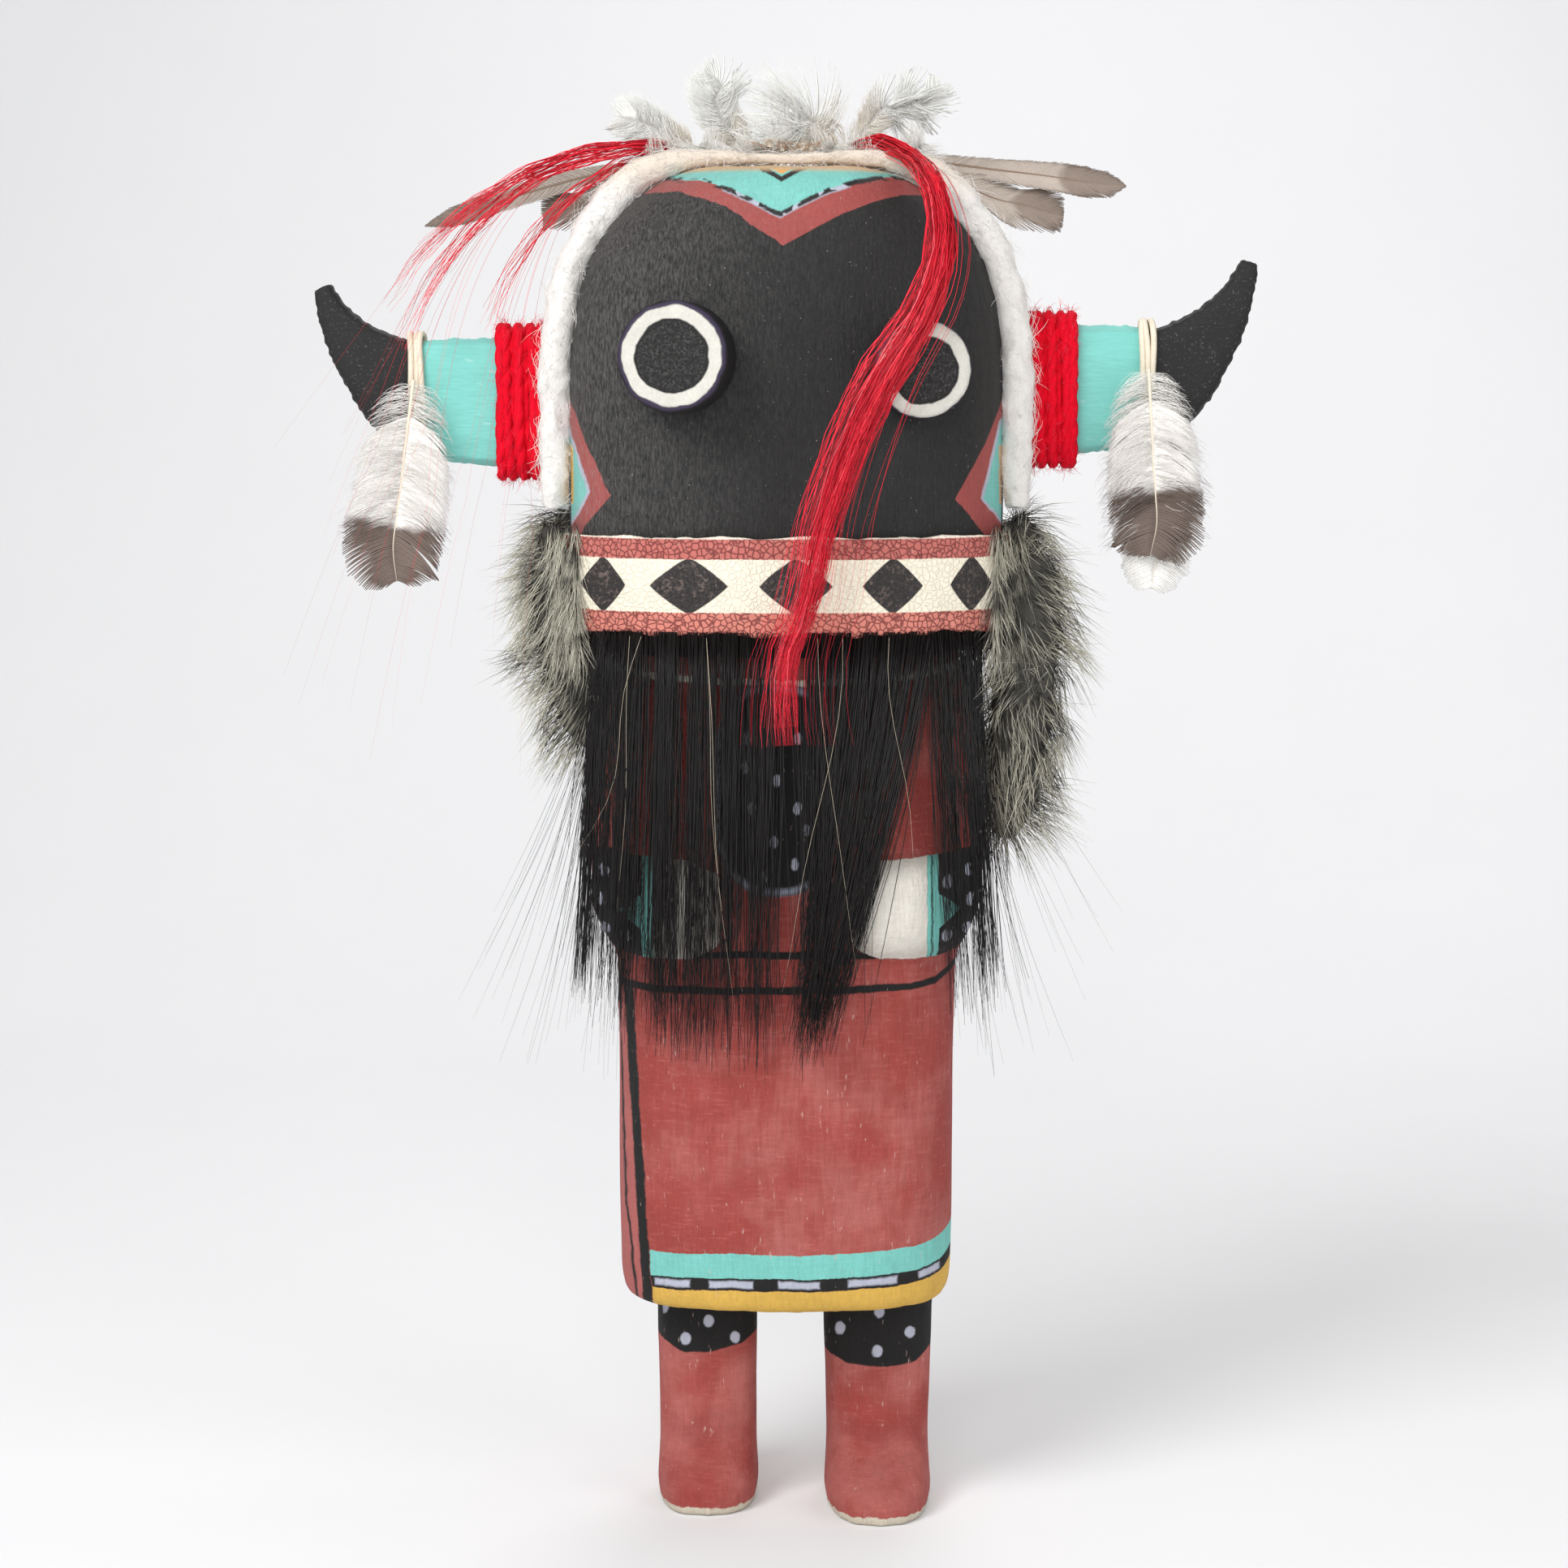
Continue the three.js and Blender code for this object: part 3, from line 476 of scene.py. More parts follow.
def figure_material():
    """Gesso, charcoal and earth colours on sawn cottonwood, brushed on by hand."""
    paint = Material("painted_wood", ROBE_RED, 0.85, 0.35)
    x, y, z = paint.x - MIDDLE_X, paint.y, paint.z
    wobble = paint.waves(5.0, 3) * 0.9 + paint.waves(0.8, 2) * 0.35
    px, pz = x + wobble, z + wobble
    front = y + 2.0

    streaks = paint.noise(1.3, 5, (1, 1, 8), 0.65)
    brushed = paint.noise(1.4, 4, (7, 7, 1), 0.6)
    blotches = paint.noise(13)
    threads = paint.noise(0.5, 4, (6, 6, 1), 0.6)
    paint.wash(ROBE_PALE, streaks * 0.35 + brushed * 0.15 + blotches * 0.6, 0.5, 0.72, 0.55)
    paint.wash(ROBE_PALE, paint.noise(0.35, 4, (1, 1, 6)), 0.56, 0.72, 0.25)
    paint.wash(ROBE_PALE, z, 92, 50, paint.ramp(blotches, 0.35, 0.65), 0.5)
    paint.wash(ROBE_PALE, threads, 0.54, 0.74, 0.4)
    paint_boots(paint, z, front)
    paint_robe(paint, px, pz, front)
    paint_arms(paint, px, pz, y, front)
    paint_legs(paint, px, pz, front)
    paint_mask(paint, px, pz, x, y, z)

    grain = paint.noise(0.6, 5, (1, 1, 9), 0.65)
    is_mask = paint.ramp(z, 172, 176) * paint.ramp(y, 12, 6)
    paint.mottle(0.3, 9, 5)
    paint.shade(0.4, grain - 0.5)
    paint.shade(0.24, threads - 0.5)
    paint.wash(srgb(210, 176, 168), paint.noise(0.7, 3, (1, 1, 4)), 0.68, 0.74, 1.0 - is_mask, 0.5)
    # A pale dusty coat on the mask: thin dust all over, and towards its upper left a painted sheen where the
    # key light glances off the black paint.
    painted_sheen_side = paint.ramp(x - z * 0.25 + paint.waves(16) * 18.0, -50, -104)
    paint.wash(srgb(150, 148, 145), paint.noise(0.42, 5, (1, 1, 4), 0.8), 0.36, 0.7,
               is_mask, painted_sheen_side * 0.36 + 0.045)
    paint.wash(srgb(214, 210, 206), paint.noise(0.4, 2), 0.735, 0.77, is_mask, 0.6)
    paint.bump(grain, 0.28)
    paint.bump(paint.noise(0.7, 5, (1, 1, 1.8), 0.75), 0.36)
    feed(streaks * 0.2 + 0.72 - is_mask * 0.25, paint.inputs["Roughness"])
    return paint.done()


HEM_DASHES = [(-22.2, 3.4), (-10.7, 4.3), (2.4, 4.1), (16.8, 4.8), (28.1, 2.1)]


def paint_robe(paint, x, z, front):
    """The shawl's overlap, belt lines, hem bands and neckline."""
    seam = x - z.along([(44.4, -27.1), (64.4, -28.3), (85, -29.6), (104, -30.5), (132, -33.5)])
    beside = (-(seam - 1.0)).min(-front)
    band_top = x.along([(-27, 54.6), (-11, 55.2), (3, 54.9), (17.5, 55.4), (25.5, 55.9), (30.4, 56.8),
                        (33, 58.4)])
    stripe_top = band_top - 4.8
    paint.paint(TURQUOISE, z - band_top, band_top - 4.9 - z, beside)
    paint.paint(CHARCOAL, z - stripe_top, stripe_top - 2.5 - z, beside)
    for middle, half in HEM_DASHES:
        paint.paint(LAVENDER, stripe(x - middle, half), stripe(z - (stripe_top - 1.2), 0.68), edge=0.3)
    paint.paint(YELLOW, z - (stripe_top - 2.5), beside, HEM_Z - 0.6 - z)
    paint.paint(srgb(176, 98, 94), seam, front, z - 106, edge=0.4)
    paint.paint(CHARCOAL, stripe(seam, 0.95), front + 7.0, z - 107.5, edge=0.2)
    thin_line = x + z.along([(46, 29.4), (63.2, 31.4), (101, 32.8)])
    paint.paint(CHARCOAL, stripe(thin_line, 0.28), front + 3.5, edge=0.25)
    lower_belt = x.along([(-34, 106.8), (24, 107.3), (29, 108), (32.5, 110)])
    for belt in (BELT_Z, lower_belt):
        paint.paint(CHARCOAL, stripe(z - belt, 0.72), edge=0.2)

    neckline = x.along([(-37, 169), (-34.8, 168.1), (-25.3, 167.2), (-13.7, 166.6), (2.6, 166), (13.2, 166.6),
                        (28, 167.6), (33, 168.2), (37, 169)])
    paint.paint(CREAM, stripe(z - neckline, 0.62), front, edge=0.25)
    paint_tongue(paint, x, z, front)


TONGUE_MIDDLE = (-1.9, 145.8)
TONGUE_HALF = (11.8, 20.3)
TONGUE_DOTS = [(-7.3, 155.8), (2.3, 155.8), (-7.9, 150.1), (-1.9, 147.6), (4.8, 148.8), (-6.5, 142.4),
               (2.2, 142.4), (3.9, 138.1), (-2.3, 135.9), (1.7, 131.6), (-4.3, 129.1)]


def paint_tongue(paint, x, z, front):
    """A dark tongue-shaped panel on the chest, outlined and dotted."""
    across, along = (x - TONGUE_MIDDLE[0]) / TONGUE_HALF[0], (z - TONGUE_MIDDLE[1]) / TONGUE_HALF[1]
    shape = (abs(across).power(2.6) + abs(along).power(3.2)).power(0.36) - 1.0
    distance = shape * TONGUE_HALF[0]
    paint.paint(CHARCOAL, distance, front)
    paint.paint(srgb(146, 150, 166), stripe(distance + 0.5, 0.42), front, edge=0.4)
    dots(paint, x, z, TONGUE_DOTS, (0.75, 1.15), front)


def dots(paint, x, z, places, half, beside):
    nearest = None
    for place_x, place_z in places:
        across, along = (x - place_x) / half[0], (z - place_z) / half[1]
        distance = (across * across + along * along).power(0.5) - 1.0
        nearest = distance if nearest is None else nearest.min(distance)
    paint.paint(LAVENDER, nearest * half[0], beside, edge=0.2)


FOREARM_Z = 122.8
HANDS = ((1.0, 13.0, 28.1), (-1.0, 13.4, 26.6))  # side, fingertip and wrist
ARM_DOTS = [(31.1, 127.8), (30.9, 117.4), (35.6, 128.6), (36.0, 122.8), (35.4, 116.8)]


def paint_arms(paint, px, pz, y, front):
    """White hands, turquoise bracelets, dotted black forearms; the sleeves stay red."""
    for side, tip, wrist in HANDS:
        across = px * side
        beyond = across - wrist
        height = across.along([(9, 0), (tip, 7.2), (tip + 5, 9.6), (wrist, 9.9), (38, 9.7), (44, 9.7)])
        off_middle = abs(pz - FOREARM_Z)
        forearm = (off_middle - height).max(tip - 0.6 - across)
        paint.paint(CHARCOAL, forearm, front)
        paint.paint(CHARCOAL, pz - (FOREARM_Z + 10.2), FOREARM_Z - 10.4 - pz, 33.0 - across,
                    y + 1.0 + off_middle * 0.4)
        paint.paint(WHITE_PAINT, forearm, beyond + 1.1, front)
        paint.paint(TURQUOISE, forearm, stripe(beyond, 1.1), front)
        paint.paint(CHARCOAL, forearm, stripe(beyond + 0.2, 0.16), front, edge=0.2)
        point = (beyond - 5.6) + abs(pz - FOREARM_Z + 0.4) * 1.3
        paint.paint(TURQUOISE, point, wrist - across, forearm, front)
        dots(paint, across, pz, ARM_DOTS, (1.05, 1.25), front.max(29.6 - across))


LEG_DOTS = [(-15.5, 37.3), (-20.0, 33.7), (-10.2, 33.8), (-24.5, 39.5), (-19.6, 41.6), (10.7, 35.5),
            (18.1, 31.2), (24.6, 34.8), (18.6, 39.4), (7.6, 34.5)]


def paint_legs(paint, x, z, front):
    """Black leggings with white dots over the red boots, and a bare edge on the soles."""
    edge = x.along([(-27, 34), (-20.4, 31), (-15.8, 31), (-8.9, 32.5), (-5.3, 34.8), (0, 34), (7.6, 30.7),
                    (12, 28.5), (20.1, 28), (25.9, 28.8), (28.6, 31)])
    paint.paint(CHARCOAL, edge - z, z - HEM_Z, edge=0.2)
    dots(paint, x, z, LEG_DOTS, (1.0, 1.25), (z - HEM_Z).max(front))
    paint.paint(srgb(206, 196, 178), z - 1.7 + paint.waves(1.8) * 1.2, edge=0.2)


def paint_boots(paint, z, front):
    """Painted shade on the boot fronts: darker toes, and a dark crease where the foot meets the shin."""
    on_front = paint.ramp(front, 0, -4)
    # painted shade: the front of each boot darker towards the toe
    paint.wash(srgb(150, 62, 60), z, 17, 8, on_front, 0.2)
    # painted shadow in the crease where the foot meets the shin
    crease_shade = z - 15.5 - paint.waves(7) * 9.0
    paint.wash(srgb(116, 44, 46), stripe(crease_shade, 0.6), 4.0, 0.0, on_front, 0.3)


RED_EDGE = [(-43, 250), (-34, 253.6), (-31.4, 257), (-27, 258.7), (-20.1, 258.6), (-11.5, 255.8),
            (-5.3, 251.5), (-0.7, 248.4), (3.9, 250.9), (10.7, 254.5), (16.9, 256.8), (21.8, 258), (27, 258.4),
            (33, 255), (43, 250)]
TURQUOISE_EDGE = [(-43, 264), (-30, 262.6), (-21.6, 261.3), (-15.1, 260.6), (-10.3, 258.8), (-6.5, 257),
                  (-1.2, 254.2), (2.7, 256.4), (7.7, 258.8), (12.5, 260.3), (16.9, 261.2), (30, 262.6),
                  (43, 264)]
CHEEKS = (  # side, the outer strip's colour, and the red and turquoise edges
    (-1.0, YELLOW, [(190, 41), (195.5, 38.7), (201.6, 33.4), (212.4, 38.6), (221.2, 42.3), (228, 46)],
     [(194, 43.2), (197.8, 40.3), (202.2, 38), (215.4, 42.4), (220, 46)]),
    (1.0, BARE_WOOD, [(190, 40), (194.6, 37.6), (201, 32), (211.6, 38.1), (219.4, 41.4), (228, 45)],
     [(194, 43.2), (197.8, 40.4), (200.9, 37.6), (215.5, 41.4), (220, 45)]),
)


def paint_mask(paint, px, pz, x, y, z):
    """The black face with its stepped red, outlined turquoise and yellow borders."""
    below = CHIN_Z - z
    paint.paint(CHARCOAL, below)
    face = (y + 4.0).max(below)
    outline = px.along(TURQUOISE_EDGE) - pz
    apex = 261.0 - pz + abs(px + 0.8) * 0.5
    paint.paint(MASK_RED, px.along(RED_EDGE) - pz, face)
    paint.paint(TURQUOISE, outline, face)
    paint.paint(LAVENDER, stripe(outline - 0.3, 0.5), face, abs(x) - 12.0, edge=0.25)
    paint.paint(CHARCOAL, stripe(outline - 0.1, 0.5), face, (0.44 - paint.noise(2.2, 1)) * 6.0, edge=0.25)
    paint.paint(CHARCOAL, stripe(apex, 0.5), abs(px) - 5.0, face, edge=0.2)
    paint.paint(ORANGE, apex + 0.9, face)

    for side, outer_colour, red, turquoise in CHEEKS:
        across = px * side
        edge = pz.along(turquoise) - across
        paint.paint(MASK_RED, pz.along(red) - across, face, pz - 226)
        paint.paint(TURQUOISE, edge, face, pz - 222)
        paint.paint(LAVENDER, stripe(edge - 0.2, 0.32), face, pz - 222, edge=0.2)
        paint.paint(outer_colour, pz - 211.0, 199.6 - pz, face, 41.0 - across)
    paint.paint(BARE_WOOD, 262.6 - z, y - 8.0, edge=0.6)


def build_figure():
    """The carving, with flat soles, knife facets, grain and worn edges."""
    piece = remeshed("carved_figure", "figure", 1.03, 21, figure_material())
    points, _ = surface_of(piece)
    points[:, 2] = np.where(points[:, 2] < 1.2, np.maximum(points[:, 2] - 0.25, 0.02), points[:, 2])
    move_points(piece, points)
    points, normals = surface_of(piece)
    depth = noise_at(points / (7, 7, 26)) * 0.32 + noise_at(points / (1.5, 1.5, 22)) * GRAIN_DEPTH
    depth *= np.clip(points[:, 2] / 4, 0, 1)
    move_points(piece, points + normals * depth[:, None])
    finish_piece(piece, "painted_wood", "carved_figure")


# Eye pegs

EYE_RING = {"right": (0.655, 0.885), "left": (0.665, 0.92)}
RING_WHITE = srgb(206, 204, 195)


def face_of(node):
    """The middle and direction of a node's flat front, in millimetres."""
    middle, direction, total = np.zeros(3), np.zeros(3), 0.0
    for polygon in NODES[node].data.polygons:
        if polygon.normal.y < -0.9:
            middle += np.array(polygon.center) * polygon.area
            direction += np.array(polygon.normal) * polygon.area
            total += polygon.area
    return middle / total / MM, direction / np.linalg.norm(direction)


def build_eye(side):
    node = f"eye_peg_{side}"
    middle, axis = face_of(node)
    low, high = box_mm(node)
    radius = (high[2] - low[2]) / 2
    paint = Material(f"eye_paint_{side}", CHARCOAL, 0.7, 0.3)
    out = [paint.x - middle[0], paint.y - middle[1], paint.z - middle[2]]
    along = out[0] * axis[0] + out[1] * axis[1] + out[2] * axis[2]
    square = out[0] * out[0] + out[1] * out[1] + out[2] * out[2] - along * along
    from_axis = square.max(0.0).power(0.5) + paint.waves(4.5, 3) * 1.5
    inner, outer = (share * radius for share in EYE_RING[side])
    front = -along - 0.9
    paint.paint(RING_WHITE, stripe(from_axis - (inner + outer) / 2, (outer - inner) / 2), front, edge=0.2)
    paint.paint(srgb(58, 50, 72), stripe(from_axis - outer - 0.35, 0.35), front - 1.0, edge=0.3)
    paint.wash(srgb(124, 122, 120), paint.noise(0.5, 5, (1, 1, 1), 0.8), 0.45, 0.7,
               paint.ramp(from_axis, inner, inner - 1.0), 0.35)
    paint.mottle(0.3, 3)
    paint.mottle(0.3, 0.5)
    paint.bump(paint.noise(0.6, 5, (1, 1, 1), 0.7), 0.2)
    piece = remeshed(node, f"eye_{side}", 0.5, 3, paint.done())
    finish_piece(piece, "eye_paint", node)


# The mask's cord

CORD_SWELL = 0.1
CORD_FIBRES = 3000
CORD_TIGHT = 2.1
MASK_MIDDLE_Z = 215.0


def scattered(piece, count, seed):
    """count random places on a mesh, by area, as points and normals."""
    rng = np.random.default_rng(seed)
    mesh = piece.data
    mesh.calc_loop_triangles()
    corners = np.array([triangle.vertices[:] for triangle in mesh.loop_triangles])
    points, _ = surface_of(piece)
    a, b, c = (points[corners[:, k]] for k in range(3))
    cross = np.cross(b - a, c - a)
    area = np.linalg.norm(cross, axis=1)
    chosen = rng.choice(len(corners), count, p=area / area.sum())
    u, v = rng.random(count), rng.random(count)
    flip = u + v > 1
    u[flip], v[flip] = 1 - u[flip], 1 - v[flip]
    at = a[chosen] + u[:, None] * (b - a)[chosen] + v[:, None] * (c - a)[chosen]
    return at, cross[chosen] / area[chosen][:, None]


def build_cord():
    """Soft roving, thicker down the cheeks and pressed thin over the crown."""
    paint = Material("white_wool", WOOL, 0.95, 0.15)
    paint.wash(srgb(228, 214, 198), paint.z, CROWN_Z - 8, CROWN_Z + 1, 0.85)
    paint.mottle(0.2, 3, 5)
    paint.mottle(0.2, 0.5)
    paint.bump(paint.noise(1.2, 6, (1, 1, 1), 0.7), 0.6)
    piece = remeshed("mask_cord", "mask_cord_wool", 0.66, 9, paint.done())
    points, normals = surface_of(piece)
    lumps = 0.65 * noise_at(points / 6.0) + 0.4 * noise_at(points / 2.2)
    slim = 1 - 0.75 * np.clip((points[:, 2] - (CROWN_Z - 8)) / 8, 0, 1)
    inward = np.array((MIDDLE_X, 0.0, MASK_MIDDLE_Z)) - points
    inward[:, 1] = 0
    swollen = points + normals * ((lumps + CORD_SWELL) * slim - 0.7 * (1 - slim))[:, None]
    move_points(piece, swollen + unit_rows(inward) * (CORD_TIGHT * slim)[:, None])
    finish_piece(piece, "white_wool", "mask_cord")

    fuzz = Gathered()
    rng = np.random.default_rng(3)
    t = shares(4)
    for at, out in zip(*scattered(piece, CORD_FIBRES, 4)):
        along = unit(np.cross(out, (0, 1, 0)) * rng.choice((-1, 1)) + rng.normal(0, 0.28, 3))
        length, rise = rng.uniform(1.5, 5.0), rng.uniform(0.1, 0.8)
        path = at - out * 0.3 + along * length * t + out * (rise * np.sin(np.pi * t * 0.8) + 0.3)
        fuzz.hair(path, rng.uniform(0.025, 0.05), shade=0.5)
    fuzz.build("mask_cord_fibres", hair_material("wool_fibre", WOOL, srgb(248, 246, 243), 0.9), "white_wool")


# Horns, their yarn and their thongs

THONG_INWARD = 1.9
THONG_LOOPS = ((0.0, 0.25), (-0.95, -0.2), (-THONG_INWARD, 0.15))  # place and lean
YARN_TURNS = 5
YARN_LAYERS = ((2.0, 0.5), (1.15, 0.0))  # depth below the CAD's surface and phase
YARN_FIBRES = 440
PLY_RADIUS = 0.74
PLY_TWIST = 8.0


def build_horn(side, sign):
    node = f"horn_{side}"
    thong_low, thong_high = box_mm(f"horn_thong_{side}")
    paint = Material(f"horn_paint_{side}", TURQUOISE, 0.7, 0.3)
    edge = (thong_low[0] + thong_high[0]) / 2 - sign * THONG_INWARD / 2
    outward = (edge - paint.x) * sign
    paint.wash(srgb(182, 226, 218), paint.noise(1.1, 4, (3, 1, 1)), 0.66, 0.74, 0.4)
    paint.paint(srgb(34, 33, 33), outward + paint.waves(1.2, 3) * 0.8, edge=0.2)
    paint.wash(srgb(120, 118, 116), paint.noise(0.5, 3), 0.6, 0.7, paint.ramp(outward, 0.2, -0.2), 0.3)
    paint.mottle(0.16, 5)
    paint.mottle(0.24, 0.5, 4, (6, 1, 1))
    paint.bump(paint.noise(0.5, 4, (5, 1, 1)), 0.15)
    piece = remeshed(node, f"horn_board_{side}", 0.55, 5, paint.done())
    points, normals = surface_of(piece)
    on_edge = np.clip(1 - np.abs(normals[:, 1]) * 1.4, 0, 1)
    saw = noise_at(points * (1, 0, 1) / 1.1) * on_edge * 0.42
    move_points(piece, points + normals * saw[:, None])
    finish_piece(piece, "horn_paint", node)


def round_section(turn, half_height, half_depth, power=3.0):
    """A point (y, z) of a rounded rectangle at an angle."""
    c, s = math.cos(turn), math.sin(turn)
    return (math.copysign(abs(c) ** (2 / power), c) * half_depth,
            math.copysign(abs(s) ** (2 / power), s) * half_height)


def yarn_material():
    paint = Material("red_yarn", srgb(226, 8, 38), 0.9, 0.15)
    paint.mottle(0.4, 1.5)
    paint.mottle(0.35, 0.3, 3)
    paint.bump(paint.noise(0.35, 4, (1, 1, 1), 0.7), 0.25)
    return paint.done()


def build_yarn(side, sign, material):
    """Two-ply yarn wound round the horn's root, with a fuzz of loose fibres."""
    low, high = box_mm(f"horn_yarn_{side}")
    middle, half = (low + high) / 2, (high - low) / 2
    rng = np.random.default_rng(11 if sign > 0 else 12)
    yarn, fuzz = Gathered(), Gathered()
    steps = YARN_TURNS * 56
    s = shares(4)
    for layer, (shrink, phase) in enumerate(YARN_LAYERS):
        t = np.linspace(0, 1, steps)
        turn = 2 * np.pi * (YARN_TURNS * t + phase)
        climb = np.clip((YARN_TURNS * t - 0.8) / (YARN_TURNS - 1.6), 0, 1)
        across = low[0] + 0.9 + (high[0] - low[0] - 1.8) * climb
        across = across + 0.22 * np.sin(turn * 0.31 + layer) + 0.16 * np.sin(turn * 1.7 + 2 * layer)
        section = np.array([round_section(a, half[2] - shrink, half[1] - shrink) for a in turn])
        core = np.column_stack([across, middle[1] + section[:, 0], middle[2] + section[:, 1]])
        tangent = unit_rows(np.gradient(core, axis=0))
        first = unit_rows(np.cross(tangent, (1.0, 0, 0)))
        second = np.cross(tangent, first)
        twist = (run_along(core) / PLY_TWIST * 2 * np.pi)[:, None]
        for ply in (0.0, np.pi):
            offset = (np.cos(twist + ply) * first + np.sin(twist + ply) * second) * PLY_RADIUS * 0.5
            yarn.add_rings(tube_rings(core + offset, PLY_RADIUS * 1.12, 6, (1, 0, 0)))
        for k in rng.integers(0, steps, YARN_FIBRES):
            out = unit(core[k] - (core[k][0], middle[1], middle[2]))
            along = unit(tangent[k] * rng.choice((-1, 1)) + rng.normal(0, 0.6, 3))
            length, lift = rng.uniform(1.2, 3.4), rng.uniform(0, 0.9)
            path = core[k] + out * (0.9 + lift * np.sin(np.pi * 0.8 * s)) + along * length * s
            fuzz.hair(path, 0.045, shade=0.5)
    yarn.build(f"yarn_{side}", material, "red_yarn", f"horn_yarn_{side}")
    fibre = hair_material(f"yarn_fibre_{side}", srgb(228, 20, 54), srgb(244, 60, 88), 0.85)
    fuzz.build(f"yarn_fuzz_{side}", fibre, "red_yarn")


def hide_material():
    paint = Material("hide", srgb(226, 216, 196), 0.75, 0.3)
    paint.mottle(0.3, 1.5)
    paint.wash(srgb(192, 176, 148), paint.noise(0.8, 3), 0.6, 0.75, 0.5)
    paint.bump(paint.noise(0.6), 0.2)
    return paint.done()


def build_thong(side, sign, material):
    node = f"horn_thong_{side}"
    low, high = box_mm(node)
    middle, half = (low + high) / 2, (high - low) / 2
    thong = Gathered()
    for place, lean in THONG_LOOPS:
        turn = np.linspace(0, 2 * np.pi, 49)
        x = middle[0] + sign * (place + lean * np.sin(turn)) + 0.2 * np.sin(3 * turn + place)
        section = np.array([round_section(a, half[2] - 0.5, half[1] - 0.5) for a in turn])
        path = np.column_stack([x, middle[1:] + section])
        thong.add_rings(tube_rings(path, 0.62, 6, (1, 0, 0))[:-1], joined=True)
    thong.build(f"thong_{side}", material, "hide_thong", node)


# The leather band

DIAMONDS = [(-34.9, 4.4), (-18.4, 7.4), (1.8, 6.9), (20.1, 5.7), (35.2, 4.1)]
DIAMOND_HALF_HEIGHT = 5.4


def band_material(low, high):
    """Cream leather with a row of dark diamonds between two cracked red strips."""
    paint = Material("painted_leather", srgb(234, 226, 206), 0.6, 0.35)
    x, z = paint.x - MIDDLE_X, paint.z
    wobble = paint.waves(4, 3) * 0.8
    creases = paint.noise(0.8, 5, (1, 1, 1), 0.7)
    cracks = paint.cells(1.15) + paint.waves(0.9, 3) * 0.06
    top = high[2]
    cream_top, cream_bottom = top - 4.3, low[2] + 4.4
    middle_z = (cream_top + cream_bottom) / 2
    for middle, half in DIAMONDS:
        across, along = abs(x - middle) / half, abs(z - middle_z + wobble * 0.3) / DIAMOND_HALF_HEIGHT
        distance = (across.power(1.12) + along.power(1.12)) - 1.0
        paint.paint(srgb(46, 42, 42), distance * 4.2 + wobble * 0.35, edge=0.15)
        hatched = paint.ramp(creases + paint.waves(3, 2) * 0.4, 0.5, 0.66)
        paint.wash(srgb(128, 112, 104), distance, 0.0, -0.15, hatched, 0.55)
    upper = (cream_top - z) + wobble * 0.5
    lower = (z - cream_bottom) + wobble * 0.5
    paint.paint(srgb(184, 102, 94), upper, edge=0.15)
    paint.paint(srgb(204, 124, 110), lower, edge=0.15)
    strips = paint.ramp(upper.min(lower), 0.1, -0.1)
    paint.wash(srgb(104, 38, 38), cracks, 0.13, 0.02, strips, 0.85)
    paint.wash(srgb(226, 168, 152), creases, 0.56, 0.7, strips, 0.5)
    paint.paint(srgb(244, 232, 216), top - 0.5 - z, edge=0.15)
    paint.mottle(0.08, 6, 3)
    paint.bump(creases, 0.14)
    paint.bump(paint.ramp(cracks, 0.0, 0.16), 0.12)
    return paint.done()


def build_band():
    low, high = box_mm("mouth_band")
    piece = remeshed("mouth_band", "band", 0.66, 8, band_material(low, high))
    points, normals = surface_of(piece)
    height = (points[:, 2] - low[2]) / (high[2] - low[2])
    across = points * (1, 0, 0)
    waves = noise_at(across / 9) + 0.5 * noise_at(across / 3.5 + (0, 7, 0))
    points[:, 2] += waves * np.where(height > 0.5, 0.55, 0.9) * np.abs(2 * height - 1) ** 2
    puckers = noise_at(points * (1, 0, 1) / (3.2, 1, 5)) * 0.22 * (normals[:, 1] < 0)
    move_points(piece, points + normals * puckers[:, None])
    finish_piece(piece, "painted_leather", "mouth_band")


# The beard

BEARD_CLUMPS = 130
BEARD_HAIRS = 1850
BEARD_REACH = 1.12
PALE_HAIRS = 7
LOOSE_HAIRS = 150
FLYING_HAIRS = 20
beard_low, beard_high = box_mm("beard")
BEARD_LENGTH = beard_high[2] - beard_low[2]
AXIS_Y = figure_high[1] - 25.0


def beard_depth(x, z):
    """How far forward the hair lies at x and z: under the band at the top, in front of the hands below."""
    down = np.clip((beard_high[2] - z) / 40.0, 0, 1)
    down = down * down * (3 - 2 * down)
    inside = np.clip(1 - np.abs(x / (42.0 + 4.0 * down)) ** 2.5, 0.02, 1)
    return AXIS_Y - (27.6 + (30.9 - 27.6) * down) * inside ** 0.4


def beard_tip(x, rng):
    """Where a hair rooted at x ends: the locks part on the doll's left and gather towards the middle."""
    if 9 < x <= 28:
        return 2.5 + (x - 9) * 0.36 + rng.normal(0, 1.1)
    if x > 28:
        return x + 4.5 + rng.normal(0, 1.8)
    return x * 1.07 + rng.normal(0, 1.8)


def hang(beard, x, length, ahead, radius, shade, top=0.0, tip=0.25):
    """Adds a hair that hangs down from the band; x is its line across and ahead how far it stands out."""
    z = beard_high[2] + top - length * np.linspace(0, 1, len(x))
    beard.hair(np.column_stack([x, beard_depth(x, z) - ahead, z]), radius, tip, shade)


